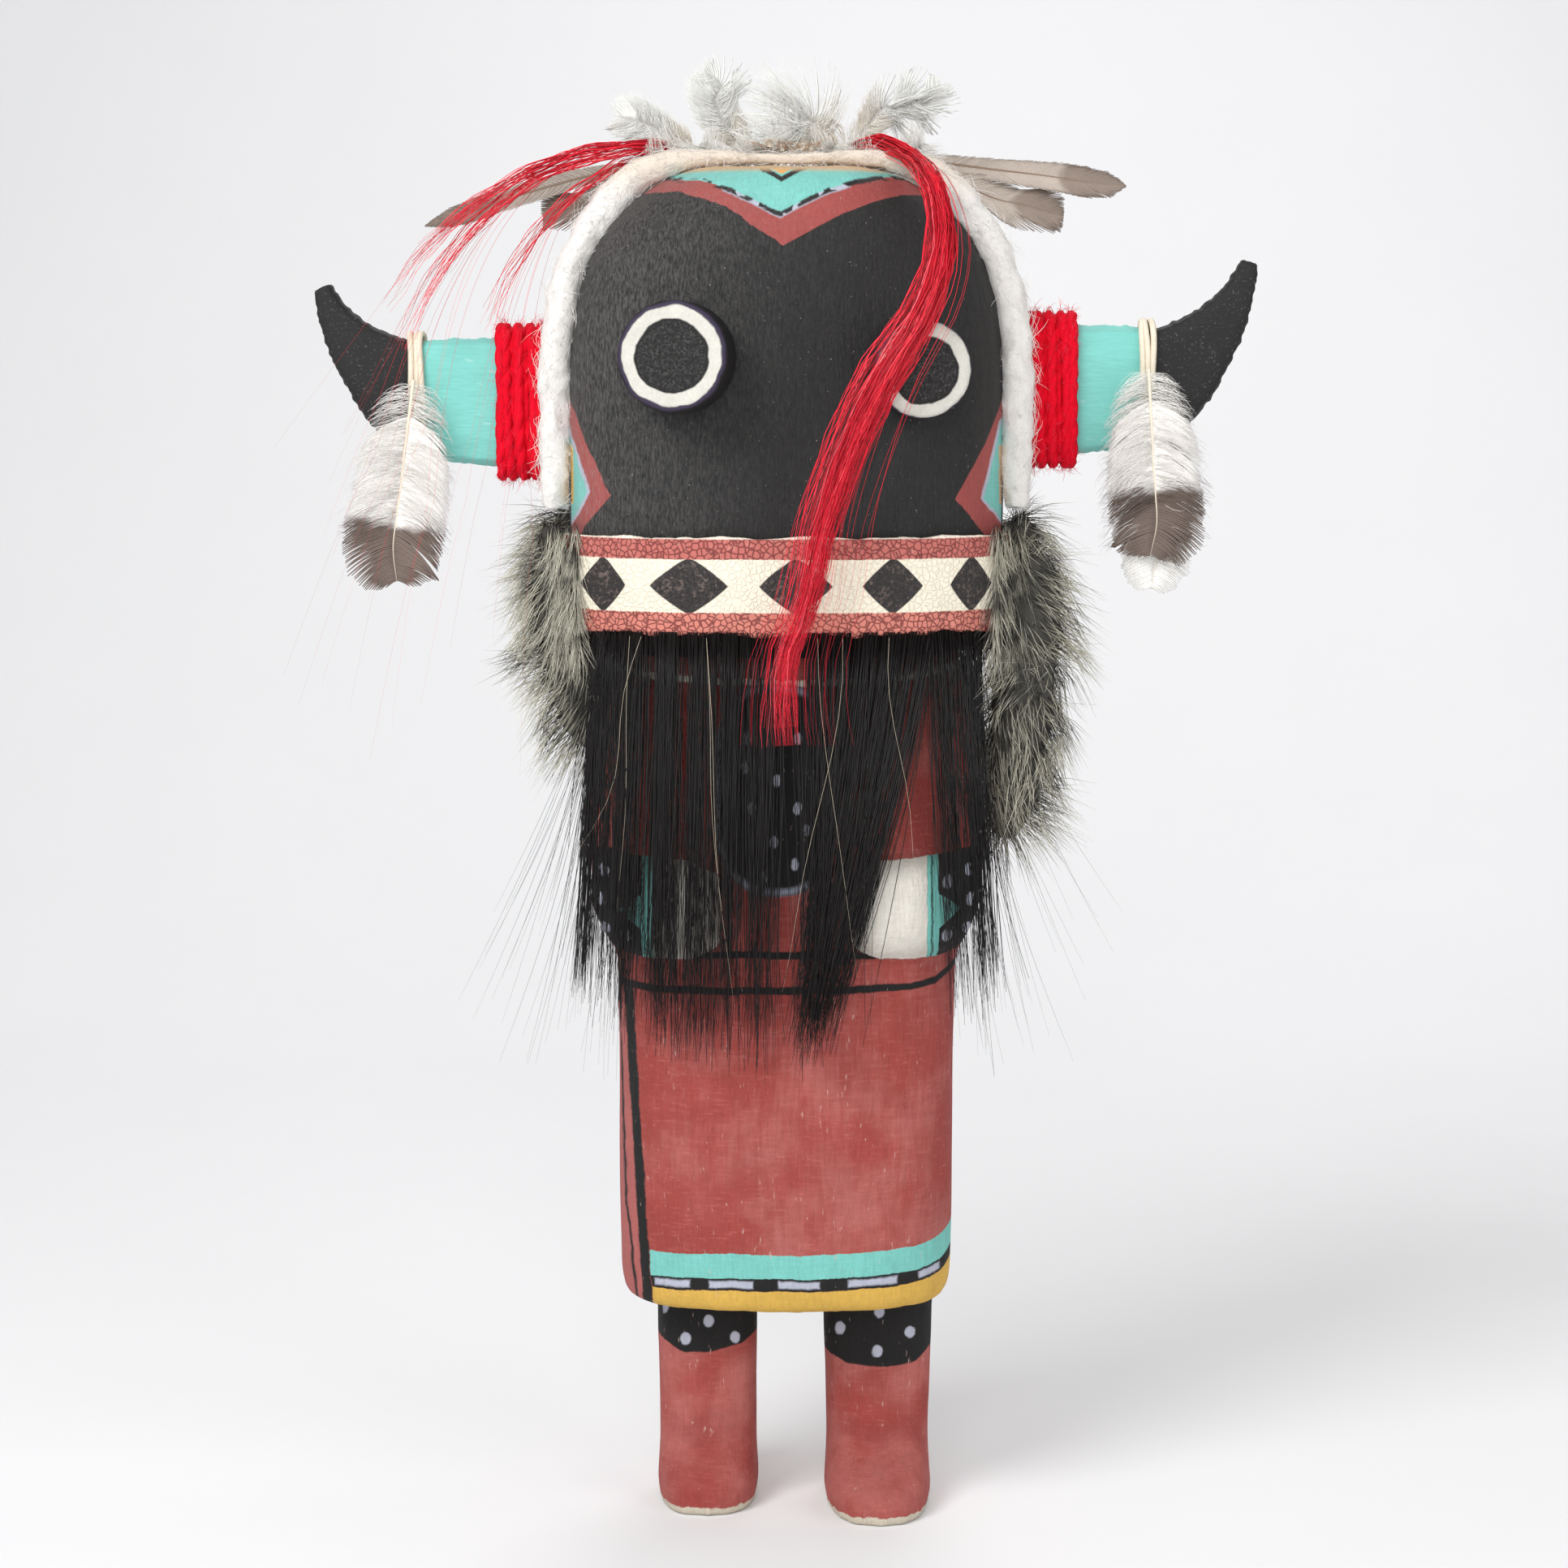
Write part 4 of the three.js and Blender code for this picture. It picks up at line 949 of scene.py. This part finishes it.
def build_beard():
    rng = np.random.default_rng(21)
    beard = Gathered()
    clumps = np.sort(rng.uniform(-36.5, 36.8, BEARD_CLUMPS))
    tips = [beard_tip(x, rng) for x in clumps]
    lengths = [rng.uniform(0.86, 1.0) for _ in clumps]
    t = np.linspace(0, 1, 8)
    for _ in range(BEARD_HAIRS):
        k = rng.integers(len(clumps))
        root = np.clip(clumps[k] + rng.normal(0, 0.9), -37.5, 37.5)
        if (28 < root < 33 and rng.random() < 0.55) or (-10 < root < 24 and rng.random() < 0.36):
            continue
        full = BEARD_LENGTH * BEARD_REACH * lengths[k] * (1 - 0.14 * (abs(root) / 37) ** 2)
        length = full * (rng.uniform(0.4, 0.9) if rng.random() < 0.16 else rng.uniform(0.9, 1.03))
        tip = tips[k] + rng.normal(0, 1.0)
        if rng.random() < 0.05:
            tip += rng.normal(0, 9)
        bend, proud = rng.normal(0, 0.8), rng.uniform(-0.5, 1.2)
        x = root + (tip - root) * length / BEARD_LENGTH * t ** 1.25 + bend * np.sin(np.pi * t)
        hang(beard, x, length, proud + 0.8 * t * rng.random(), rng.uniform(0.065, 0.11),
             rng.random() ** 2 * 0.9, top=1.0, tip=0.42)

    t = np.linspace(0, 1, 10)
    for _ in range(PALE_HAIRS):
        root, length = rng.uniform(-34, 34), rng.uniform(45, 76)
        x = root + rng.normal(0, 6) * t ** 1.4 + rng.normal(0, 0.8) * np.sin(2.4 * np.pi * t)
        hang(beard, x, length, 1.6, 0.032, 1.0)
    for _ in range(LOOSE_HAIRS):
        side = rng.choice((-1, 1))
        root, length = side * rng.uniform(27, 37), rng.uniform(45, 86)
        x = root + side * abs(rng.normal(4, 8)) * (length / 80) * t ** 1.5
        hang(beard, x, length, 0.5 + 3 * t * rng.random(), 0.055, rng.random() * 0.6)
    for _ in range(FLYING_HAIRS):
        side = rng.choice((-1, 1))
        root, length = side * rng.uniform(30, 37), rng.uniform(50, 84)
        x = root + side * rng.uniform(12, 30) * t ** 1.3
        hang(beard, x, length, 1.5 + 2 * t, 0.045, rng.random() * 0.6)
    material = hair_material("horsehair", srgb(15, 11, 11), srgb(18, 13, 12), 0.42, pale=srgb(182, 170, 150))
    beard.build("beard_hair", material, "horsehair", "beard")


# Red-dyed hair

FACE_HANK = [(12.7, 2, 267.5), (18.1, -3, 268.6), (22.2, -9, 266.6), (25.4, -17, 263.6), (27.3, -23.8, 260.1),
             (28.7, -27, 254.4), (28.9, -31.5, 248.6), (27.4, -35, 241.9), (24.7, -37, 235.5),
             (21.0, -37.7, 229.6), (17.3, -37.7, 223.7), (14.2, -37.2, 217.5), (11.3, -36.4, 210.8),
             (8.2, -35.2, 202.2), (5.9, -33.8, 194.2), (3.5, -32.8, 182.5), (0.1, -32.8, 172.8),
             (-0.8, -33, 162.7), (-0.4, -33.4, 155.6)]
FACE_WIDTHS = [1.0, 1.4, 1.5, 1.6, 1.8, 2.0, 2.3, 2.5, 2.8, 3.2, 3.4, 3.3, 3.2, 3.1, 2.9, 2.7, 2.6, 3.1, 3.7]
FACE_HAIRS = 210
FACE_STRAYS = 26
SIDE_LOCKS = [
    ([(-22, 1, 267), (-26, -2, 268.2), (-40.4, -5, 266.5), (-54.8, -8, 260), (-67.6, -9, 250),
      (-77.8, -10, 237.4)], 34),
    ([(-22, 1, 266.6), (-29, -3, 267.2), (-45.8, -6, 262.9), (-58.6, -8, 253.8), (-67.7, -9, 242.8),
      (-73.1, -10, 232)], 24),
    ([(-22, 1, 266), (-31, -3, 265.4), (-43.8, -7, 256.4), (-52.9, -8, 244.6), (-58.5, -9, 233)], 14),
]
SIDE_WIDTHS = [0.8, 0.9, 1.0, 1.1, 1.3, 1.7]
SIDE_STRAYS = 20
CRIMP = 0.28
WISP_LIMIT = -98.0


def hank(strands, line, widths, wide, count, rng, depth, fall=0.0, wander=1.0, shorter=0.16):
    """Crimped hairs gathered in a few locks along one line."""
    steps = 36
    path = smooth_path(line, steps)
    t = np.linspace(0, 1, steps)
    spread = np.interp(t, np.linspace(0, 1, len(widths)), widths)
    _, side, up = directions(path, wide)
    run = run_along(path)
    locks = [(rng.uniform(-0.85, 0.85), rng.uniform(-0.8, 0.8)) for _ in range(14)]
    for _ in range(count):
        u, v = locks[rng.integers(len(locks))]
        drift = rng.normal(0, 0.22, 2)
        across = u + drift[0] + 0.14 * wander * np.sin(t * rng.uniform(4, 11) + rng.uniform(0, 6))
        deep = v + drift[1] + 0.14 * wander * np.sin(t * rng.uniform(4, 11) + rng.uniform(0, 6))
        crimp = CRIMP * np.sin(run / rng.uniform(1.5, 2.6) + rng.uniform(0, 6))
        hair = (path + side * (across * spread + crimp)[:, None]
                + up * (deep * np.minimum(spread, depth))[:, None])
        if fall:
            hair = hair - rng.uniform(0, fall) * t[:, None] ** 2.5 * (0, 0.1, 1)
        keep = steps - int(rng.uniform(0, shorter) * steps)
        strands.hair(hair[:keep], rng.uniform(0.07, 0.115), shade=rng.random() ** 1.5)


def build_red_hair():
    rng = np.random.default_rng(31)
    material = hair_material("red_hair", srgb(216, 14, 40), srgb(226, 30, 54), 0.42, pale=srgb(240, 92, 104))
    front = Gathered()
    hank(front, FACE_HANK, FACE_WIDTHS, (1, 0, 0.3), FACE_HAIRS, rng, depth=1.4, shorter=0.2)
    for _ in range(FACE_STRAYS):
        line = np.array(FACE_HANK, float)
        push = rng.normal(1.5, 5.0)
        t = np.linspace(0, 1, len(line))
        line[:, 0] += push * t ** 1.5 + rng.normal(0, 2.0) * np.sin(np.pi * t)
        line[:, 1] -= rng.uniform(0, 1.5) * np.sin(np.pi * t)
        front.hair(smooth_path(line, 30), 0.05, shade=rng.random())
    front.build("face_hank", material, "red_hair", "red_hair_front")

    sideways = Gathered()
    for lock, count in SIDE_LOCKS:
        hank(sideways, lock, SIDE_WIDTHS, (0, 0, 1), count, rng, depth=1.2, fall=3, wander=1.2, shorter=0.3)
    for _ in range(SIDE_STRAYS):
        lock, _ = SIDE_LOCKS[rng.integers(len(SIDE_LOCKS))]
        line = smooth_path(lock, 30)
        tail = line[-1] - line[-2]
        line = np.vstack([line[:-1], line[-1] + tail * np.arange(1, 5)[:, None] * 2.2])
        t = np.linspace(0, 1, len(line))
        line[:, 2] -= rng.uniform(0, 75) * t ** 4
        line[:, 0] += rng.uniform(-8, 14) * t ** 3
        line[:, 0] = np.maximum(line[:, 0], WISP_LIMIT)
        line[:, 1] += rng.normal(0, 3) * t
        sideways.hair(line, rng.uniform(0.03, 0.045), shade=rng.random())
    sideways.build("side_hank", material, "red_hair", "red_hair_side")


# The fur ruff

FUR_HAIRS = 11000
BAND_END_HAIRS = 620
FUR_INWARD = 2.6
HAIR_SHARES = np.array((0.0, 0.45, 1.0))[:, None]
SWIRLS = [Vector((0, 0, 0)), Vector((9, 0, 0)), Vector((0, 9, 0))]


def fur_material():
    """Brindled: dark at the roots, olive grey along the hair and pale at the tips."""
    paint = Material("fur_hair", srgb(58, 56, 52), 0.7, 0.35)
    along = paint.attribute("along")
    paint.wash(srgb(178, 175, 158), along, 0.02, 0.4)
    paint.wash(srgb(236, 232, 216), along, 0.5, 1.0, 0.66)
    paint.wash(srgb(46, 45, 44), paint.noise(8, 3), 0.51, 0.63, 0.8)
    paint.shade(0.9, paint.attribute("shade") - 0.5)
    return paint.done()


def build_fur():
    hide = Material("fur_hide", srgb(66, 64, 59), 0.95)
    hide.mottle(0.6, 3)
    base = remeshed("fur_ruff", "fur_base", 1.3, 10, hide.done())
    points, normals = surface_of(base)
    drawn_in = np.sign(points[:, 0]) * FUR_INWARD * np.clip((np.abs(points[:, 0]) - 26) / 12, 0, 1)
    move_points(base, points - normals * 1.6 - drawn_in[:, None] * (1, 0, 0))
    finish_piece(base, "fur", "fur_ruff")
    rng = np.random.default_rng(41)
    halves = {-1: Gathered(), 1: Gathered()}
    ruff_top = box_mm("fur_ruff")[1][2]
    t = HAIR_SHARES
    for at, out in zip(*scattered(base, FUR_HAIRS, 42)):
        lean = np.array([noise.noise(Vector(at / 9) + shift) for shift in SWIRLS])
        rise = np.clip((at[2] - ruff_top + 7) / 7, 0, 1)
        down = np.array((0.3 * np.sign(at[0]), -0.1, 2.2 * rise - 1.0))
        along = unit(down + lean * 1.7 + rng.normal(0, 0.3, 3) + out * 0.5)
        length = rng.uniform(4.5, 10.5) * (1.25 if rng.random() < 0.12 else 1.0)
        path = at + along * length * t + out * 2.4 * np.sin(np.pi * 0.62 * t) + np.array((0, 0, -1.5)) * t * t
        halves[1 if at[0] > MIDDLE_X else -1].hair(
            path, rng.uniform(0.05, 0.1), 0.12, rng.random() * 0.9 + 0.1 * (rng.random() > 0.9))
    band_low, band_high = box_mm("mouth_band")
    for side in (-1, 1):
        for _ in range(BAND_END_HAIRS):
            x, z = side * rng.uniform(39.6, 45.5), rng.uniform(band_low[2] - 3, band_high[2] + 2)
            root = np.array((x, band_low[1] + 15 + 1.1 * (abs(x) - 38) - 3.4, z))
            along = unit(np.array((side * rng.normal(-0.05, 0.3), -0.25, -1.0)))
            path = root + along * rng.uniform(5, 9.5) * t + np.array((0, -1.6, 0)) * np.sin(np.pi * 0.7 * t)
            halves[side].hair(path, rng.uniform(0.05, 0.1), 0.12, rng.random() * 0.9)
    material = fur_material()
    for side, name in ((-1, "right"), (1, "left")):
        halves[side].build(f"fur_hair_{name}", material, "fur")


# Feathers

BARB_THICKNESS = 0.16
FLUFF_THICKNESS = 0.06


def shaft_of(node, root_first):
    """A CAD feather's middle line, read from slices of its mesh across the longest side."""
    low, high = box_mm(node)
    axis = int(np.argmax(high - low))
    points, _ = surface_of(NODES[node])
    edges = np.linspace(low[axis], high[axis], 8)
    line = []
    for k in range(7):
        inside = (points[:, axis] >= edges[k] - 1e-3) & (points[:, axis] <= edges[k + 1] + 1e-3)
        if inside.any():
            span = points[inside]
            line.append((span.min(0) + span.max(0)) / 2)
    return np.array(line if root_first else line[::-1])


class Feather(Gathered):
    """A shaft and its barbs, each barb a thin flat strip with three sides."""

    def __init__(self, line, across, half_width, shape, seed):
        super().__init__()
        self.path = smooth_path(line, 60)
        self.across = unit(np.array(across, float))
        self.half_width = half_width
        self.shape = tuple(zip(*shape))
        self.rng = np.random.default_rng(seed)
        self.length = np.linalg.norm(np.diff(self.path, axis=0), axis=1).sum()

    def place(self, share):
        k = share * (len(self.path) - 1)
        low = min(int(k), len(self.path) - 2)
        at = self.path[low] + (self.path[low + 1] - self.path[low]) * (k - low)
        tangent = unit(self.path[low + 1] - self.path[low])
        side = unit(self.across - tangent * (self.across @ tangent))
        return at, tangent, side, np.cross(tangent, side)

    def strip(self, path, width, thick, flat, share):
        """A barb: a narrow blade along path, lying in the plane of flat."""
        t = shares(len(path))
        side = unit_rows(np.cross(unit_rows(np.gradient(path, axis=0)), flat)) * width * (1 - 0.75 * t ** 2)
        up = flat * thick * (1 - 0.6 * t)
        self.add_rings(np.stack([path + side - up * 0.5, path - side - up * 0.5, path + up], axis=1),
                       along=share, out=t)

    def shaft(self, radius):
        radii = radius * np.linspace(1, 0.25, len(self.path))
        self.add_rings(tube_rings(self.path, radii, 5, self.across), along=-1.0, out=0.0)

    def vane(self, start, spacing, sweep, gaps, curl=0.0):
        """Close-lying barbs on both sides of the shaft, zipped together but for a few splits."""
        rng = self.rng
        t = shares(6)
        for side in (-1, 1):
            share, split = start, 0.0
            while share < 0.995:
                at, tangent, across, up = self.place(share)
                width = self.half_width * np.interp(share, *self.shape) * rng.uniform(0.96, 1.04)
                split = split * 0.86 + (rng.normal(0, 0.5) if rng.random() < gaps else 0.0)
                forward = tangent * width * (sweep + 0.18 * split) * t ** 1.35
                path = at + across * side * width * (t - 0.12 * t ** 2) + forward
                path = path + up * curl * width * t ** 2 * side + up * rng.normal(0, 0.05) * t
                self.strip(path, spacing * 0.78, BARB_THICKNESS, up, share)
                share += spacing / self.length * rng.uniform(0.85, 1.15)

    def down(self, start, stop, count, length, spread, rise):
        """Loose fluffy barbs that curve out and away from the shaft."""
        rng = self.rng
        t = shares(5)
        for _ in range(count):
            share = rng.uniform(start, stop)
            at, tangent, across, up = self.place(share)
            side = rng.choice((-1, 1))
            reach = length * rng.uniform(0.6, 1.15) * np.interp(share, *self.shape)
            out = unit(across * side + up * rng.normal(0, spread))
            bend = rng.normal(0, 0.16)
            path = (at + out * reach * (t - 0.25 * t ** 2) + tangent * reach * rise * t ** 1.4
                    + (tangent * bend + up * rng.normal(0, 0.14)) * reach * np.sin(np.pi * t) * 0.6)
            self.strip(path, rng.uniform(0.035, 0.065), FLUFF_THICKNESS, up, share)


def feather_material(name, base, root, shaft, band=None, band_share=0.0, tip=None, tip_share=0.0,
                     edge_lift=0.07):
    """base colour with a darker band and a pale tip across the vane, and a shaft of its own colour."""
    paint = Material(name, base, 0.6, 0.3)
    along = paint.attribute("along")
    edge = along + paint.attribute("out") * edge_lift + paint.waves(2.5, 3) * 0.06
    paint.wash(root, edge, 0.4, 0.12)
    if band is not None:
        paint.wash(band, edge, band_share - 0.03, band_share + 0.02)
    if tip is not None:
        paint.wash(tip, edge, tip_share - 0.015, tip_share + 0.015)
    paint.mottle(0.25, 3, 3)
    paint.mottle(0.3, 0.4, 2)
    paint.wash(shaft, along, -0.4, -0.6)
    return paint.done()


WING_SHAPE = [(0, 0.15), (0.2, 0.4), (0.5, 0.85), (0.72, 1), (0.84, 0.8), (0.93, 0.4), (1, 0.02)]
BODY_SHAPE = [(0, 0.5), (0.12, 0.75), (0.3, 0.95), (0.6, 1), (0.82, 0.92), (0.92, 0.66), (0.98, 0.35),
              (1, 0.1)]
DOWN_SHAPE = [(0, 0.5), (0.3, 0.9), (0.6, 1), (0.85, 0.78), (0.95, 0.4), (1, 0.1)]
WING_STRETCH = 1.03
WINGS = {  # side and half width
    "wing_feather_right_long": (-1, 3.4), "wing_feather_right_short": (-1, 5.4),
    "wing_feather_left_long": (1, 4.4), "wing_feather_left_short": (1, 6.0),
}
HANGING = {  # half width, where the band and the tip start, and the shift of the root and the tip
    "horn_feather_right": (11.2, 0.73, 1.3, 1.9, 0.0),
    "horn_feather_left_back": (8.0, 0.8, 0.84, -2.2, 0.6),
    "horn_feather_left_front": (10.4, 0.67, 1.12, -2.2, 1.5),
}
CREST = {"crest_feather_1": 5.0, "crest_feather_2": 5.6, "crest_feather_3": 9.6, "crest_feather_4": 5.6}
CROWN_TUFTS = [-22, -17.5, -13, -8.5, -4.5, 7.5, 12, 16.5, 21]


def build_feathers():
    brown = feather_material("wing_vane", srgb(180, 168, 158), srgb(212, 206, 200), srgb(130, 110, 94),
                             band=srgb(140, 126, 116), band_share=0.74)
    for k, (node, (side, half)) in enumerate(WINGS.items()):
        line = shaft_of(node, root_first=side > 0)
        line = line[0] + (line - line[0]) * WING_STRETCH
        wing = Feather(line, (0.25 * side, 0.75, 1), half, WING_SHAPE, 50 + k)
        wing.shaft(0.42)
        wing.vane(0.04, 0.34, 1.3, 0.06)
        wing.build(node.replace("wing_feather", "wing"), brown, "grey_feather", node)
    for k, (node, (half, band, tip, root_x, tip_x)) in enumerate(HANGING.items()):
        line = shaft_of(node, root_first=False)
        line[:, 0] += np.linspace(root_x, tip_x, len(line))
        white = feather_material(f"body_vane_{k}", WOOL, srgb(252, 250, 246), srgb(226, 217, 198),
                                 band=srgb(116, 102, 94), band_share=band, tip=srgb(240, 238, 234),
                                 tip_share=tip, edge_lift=0.16)
        plume = Feather(line, (1, 0, 0), half, BODY_SHAPE, 60 + k)
        plume.shaft(0.4)
        plume.vane(0.18, 0.36, 0.55, 0.1, curl=0.1)
        plume.down(0.02, 0.72, 700, 13.5, 0.3, 0.3)
        plume.build(node.replace("feather", "plume"), white, "white_feather", node)
    build_crest()


def build_crest():
    """Soft down feathers that merge into one pale tuft along the crown."""
    for k, (node, half) in enumerate(CREST.items()):
        line = shaft_of(node, root_first=True)
        if line[0][2] > line[-1][2]:
            line = line[::-1]
        pale = feather_material(f"crest_vane_{k}", srgb(232, 232, 228), srgb(224, 216, 204),
                                srgb(176, 174, 170))
        crest = Feather(line, (1, 0, 0), half, DOWN_SHAPE, 70 + k)
        crest.shaft(0.2)
        crest.vane(0.06, 0.3, 1.1, 0.18)
        crest.down(0.0, 0.8, 640, half * 1.35, 0.3, 0.55)
        crest.build(node.replace("feather", "down"), pale, "white_feather", node)
    low, high = box_mm("crest_feather_3")
    rng = np.random.default_rng(80)
    pale = feather_material("crown_vane", srgb(230, 228, 222), srgb(228, 216, 200), srgb(200, 196, 188))
    for k, x in enumerate(CROWN_TUFTS):
        root = np.array((MIDDLE_X + x, (low[1] + high[1]) / 2 - 2.0, CROWN_Z - 0.5))
        reach = np.array((0.3 * x + rng.normal(0, 1.5), rng.uniform(-4.5, 0.5), rng.uniform(3.4, 6.2)))
        line = [root, root + reach * 0.5 + np.array((0, -0.6, 0)), root + reach]
        tuft = Feather(line, (1, 0, 0), 6.0, DOWN_SHAPE, 90 + k)
        tuft.shaft(0.15)
        tuft.down(0.0, 1.0, 280, 7.5, 0.9, 0.6)
        tuft.build(f"crown_tuft_{k + 1}", pale, "white_feather")


GLUE_DROPS = [(-3.2, 0.8, 0.7), (-0.8, 0.2, 1.0), (1.2, -0.4, 0.8), (3.4, 0.5, 1.15), (4.8, -0.2, 0.7)]
FRAYED_HAIRS = 60


def build_glue():
    """Clear glue drops and frayed brown down where the crest is stuck on."""
    cord, _ = surface_of(NODES["mask_cord"])
    cord = cord[np.abs(cord[:, 0] - MIDDLE_X) < 8]
    front, top = cord[:, 1].mean() + 0.6, cord[:, 2].max()
    paint = Material("glue", srgb(244, 236, 222), 0.08, 0.6, 0.85)
    mesh = bmesh.new()
    for x, lift, radius in GLUE_DROPS:
        made = bmesh.ops.create_icosphere(mesh, subdivisions=3, radius=radius * MM)
        place = Vector((MIDDLE_X + x, front, top - 0.3 + lift)) * MM
        bmesh.ops.translate(mesh, verts=made["verts"], vec=place)
    data = bpy.data.meshes.new("glue_drops")
    mesh.to_mesh(data)
    mesh.free()
    dress(data, paint.done())
    finish_piece(add_to_scene("glue_drops", data), "white_feather")

    rng = np.random.default_rng(95)
    brown = Gathered()
    t = shares(4)
    for _ in range(FRAYED_HAIRS):
        root = np.array((MIDDLE_X + rng.normal(0.5, 3.2), front + 1.2, top - 0.8))
        reach = np.array((rng.normal(0, 2.2), rng.normal(-0.3, 0.5), rng.uniform(0.4, 2.4)))
        path = root + reach * t + np.array((0, 0, 0.5)) * np.sin(np.pi * t)
        brown.hair(path, rng.uniform(0.05, 0.09), shade=rng.random())
    material = hair_material("frayed_brown", srgb(150, 104, 66), srgb(196, 150, 104), 0.7)
    brown.build("crown_fray", material, "white_feather")


# The stage

def build_floor():
    """A pale floor that curves up into a backdrop."""
    depth, rise, bend, half = 900.0, 1500.0, 500.0, 3000.0
    profile = [(-1600.0, 0.0), (depth - bend, 0.0)]
    profile += [(depth - bend + bend * math.sin(a), bend - bend * math.cos(a))
                for a in np.linspace(0.05, math.pi / 2, 24)]
    profile.append((depth, rise))
    vertices = [(side * half, y, z) for y, z in profile for side in (-1, 1)]
    faces = [(2 * k, 2 * k + 1, 2 * k + 3, 2 * k + 2) for k in range(len(profile) - 1)]
    paint = Material("floor_paper", (0.8, 0.8, 0.81, 1), 0.9)
    paint.mottle(0.03, 60)
    add_object("floor", vertices, faces, paint.done())


def build_doll():
    build_figure()
    build_cord()
    build_band()
    yarn, hide = yarn_material(), hide_material()
    for side, sign in (("right", -1.0), ("left", 1.0)):
        build_eye(side)
        build_horn(side, sign)
        build_yarn(side, sign, yarn)
        build_thong(side, sign, hide)
    build_beard()
    build_red_hair()
    build_fur()
    build_feathers()
    build_glue()


add_camera()
add_lights()
build_doll()
build_floor()
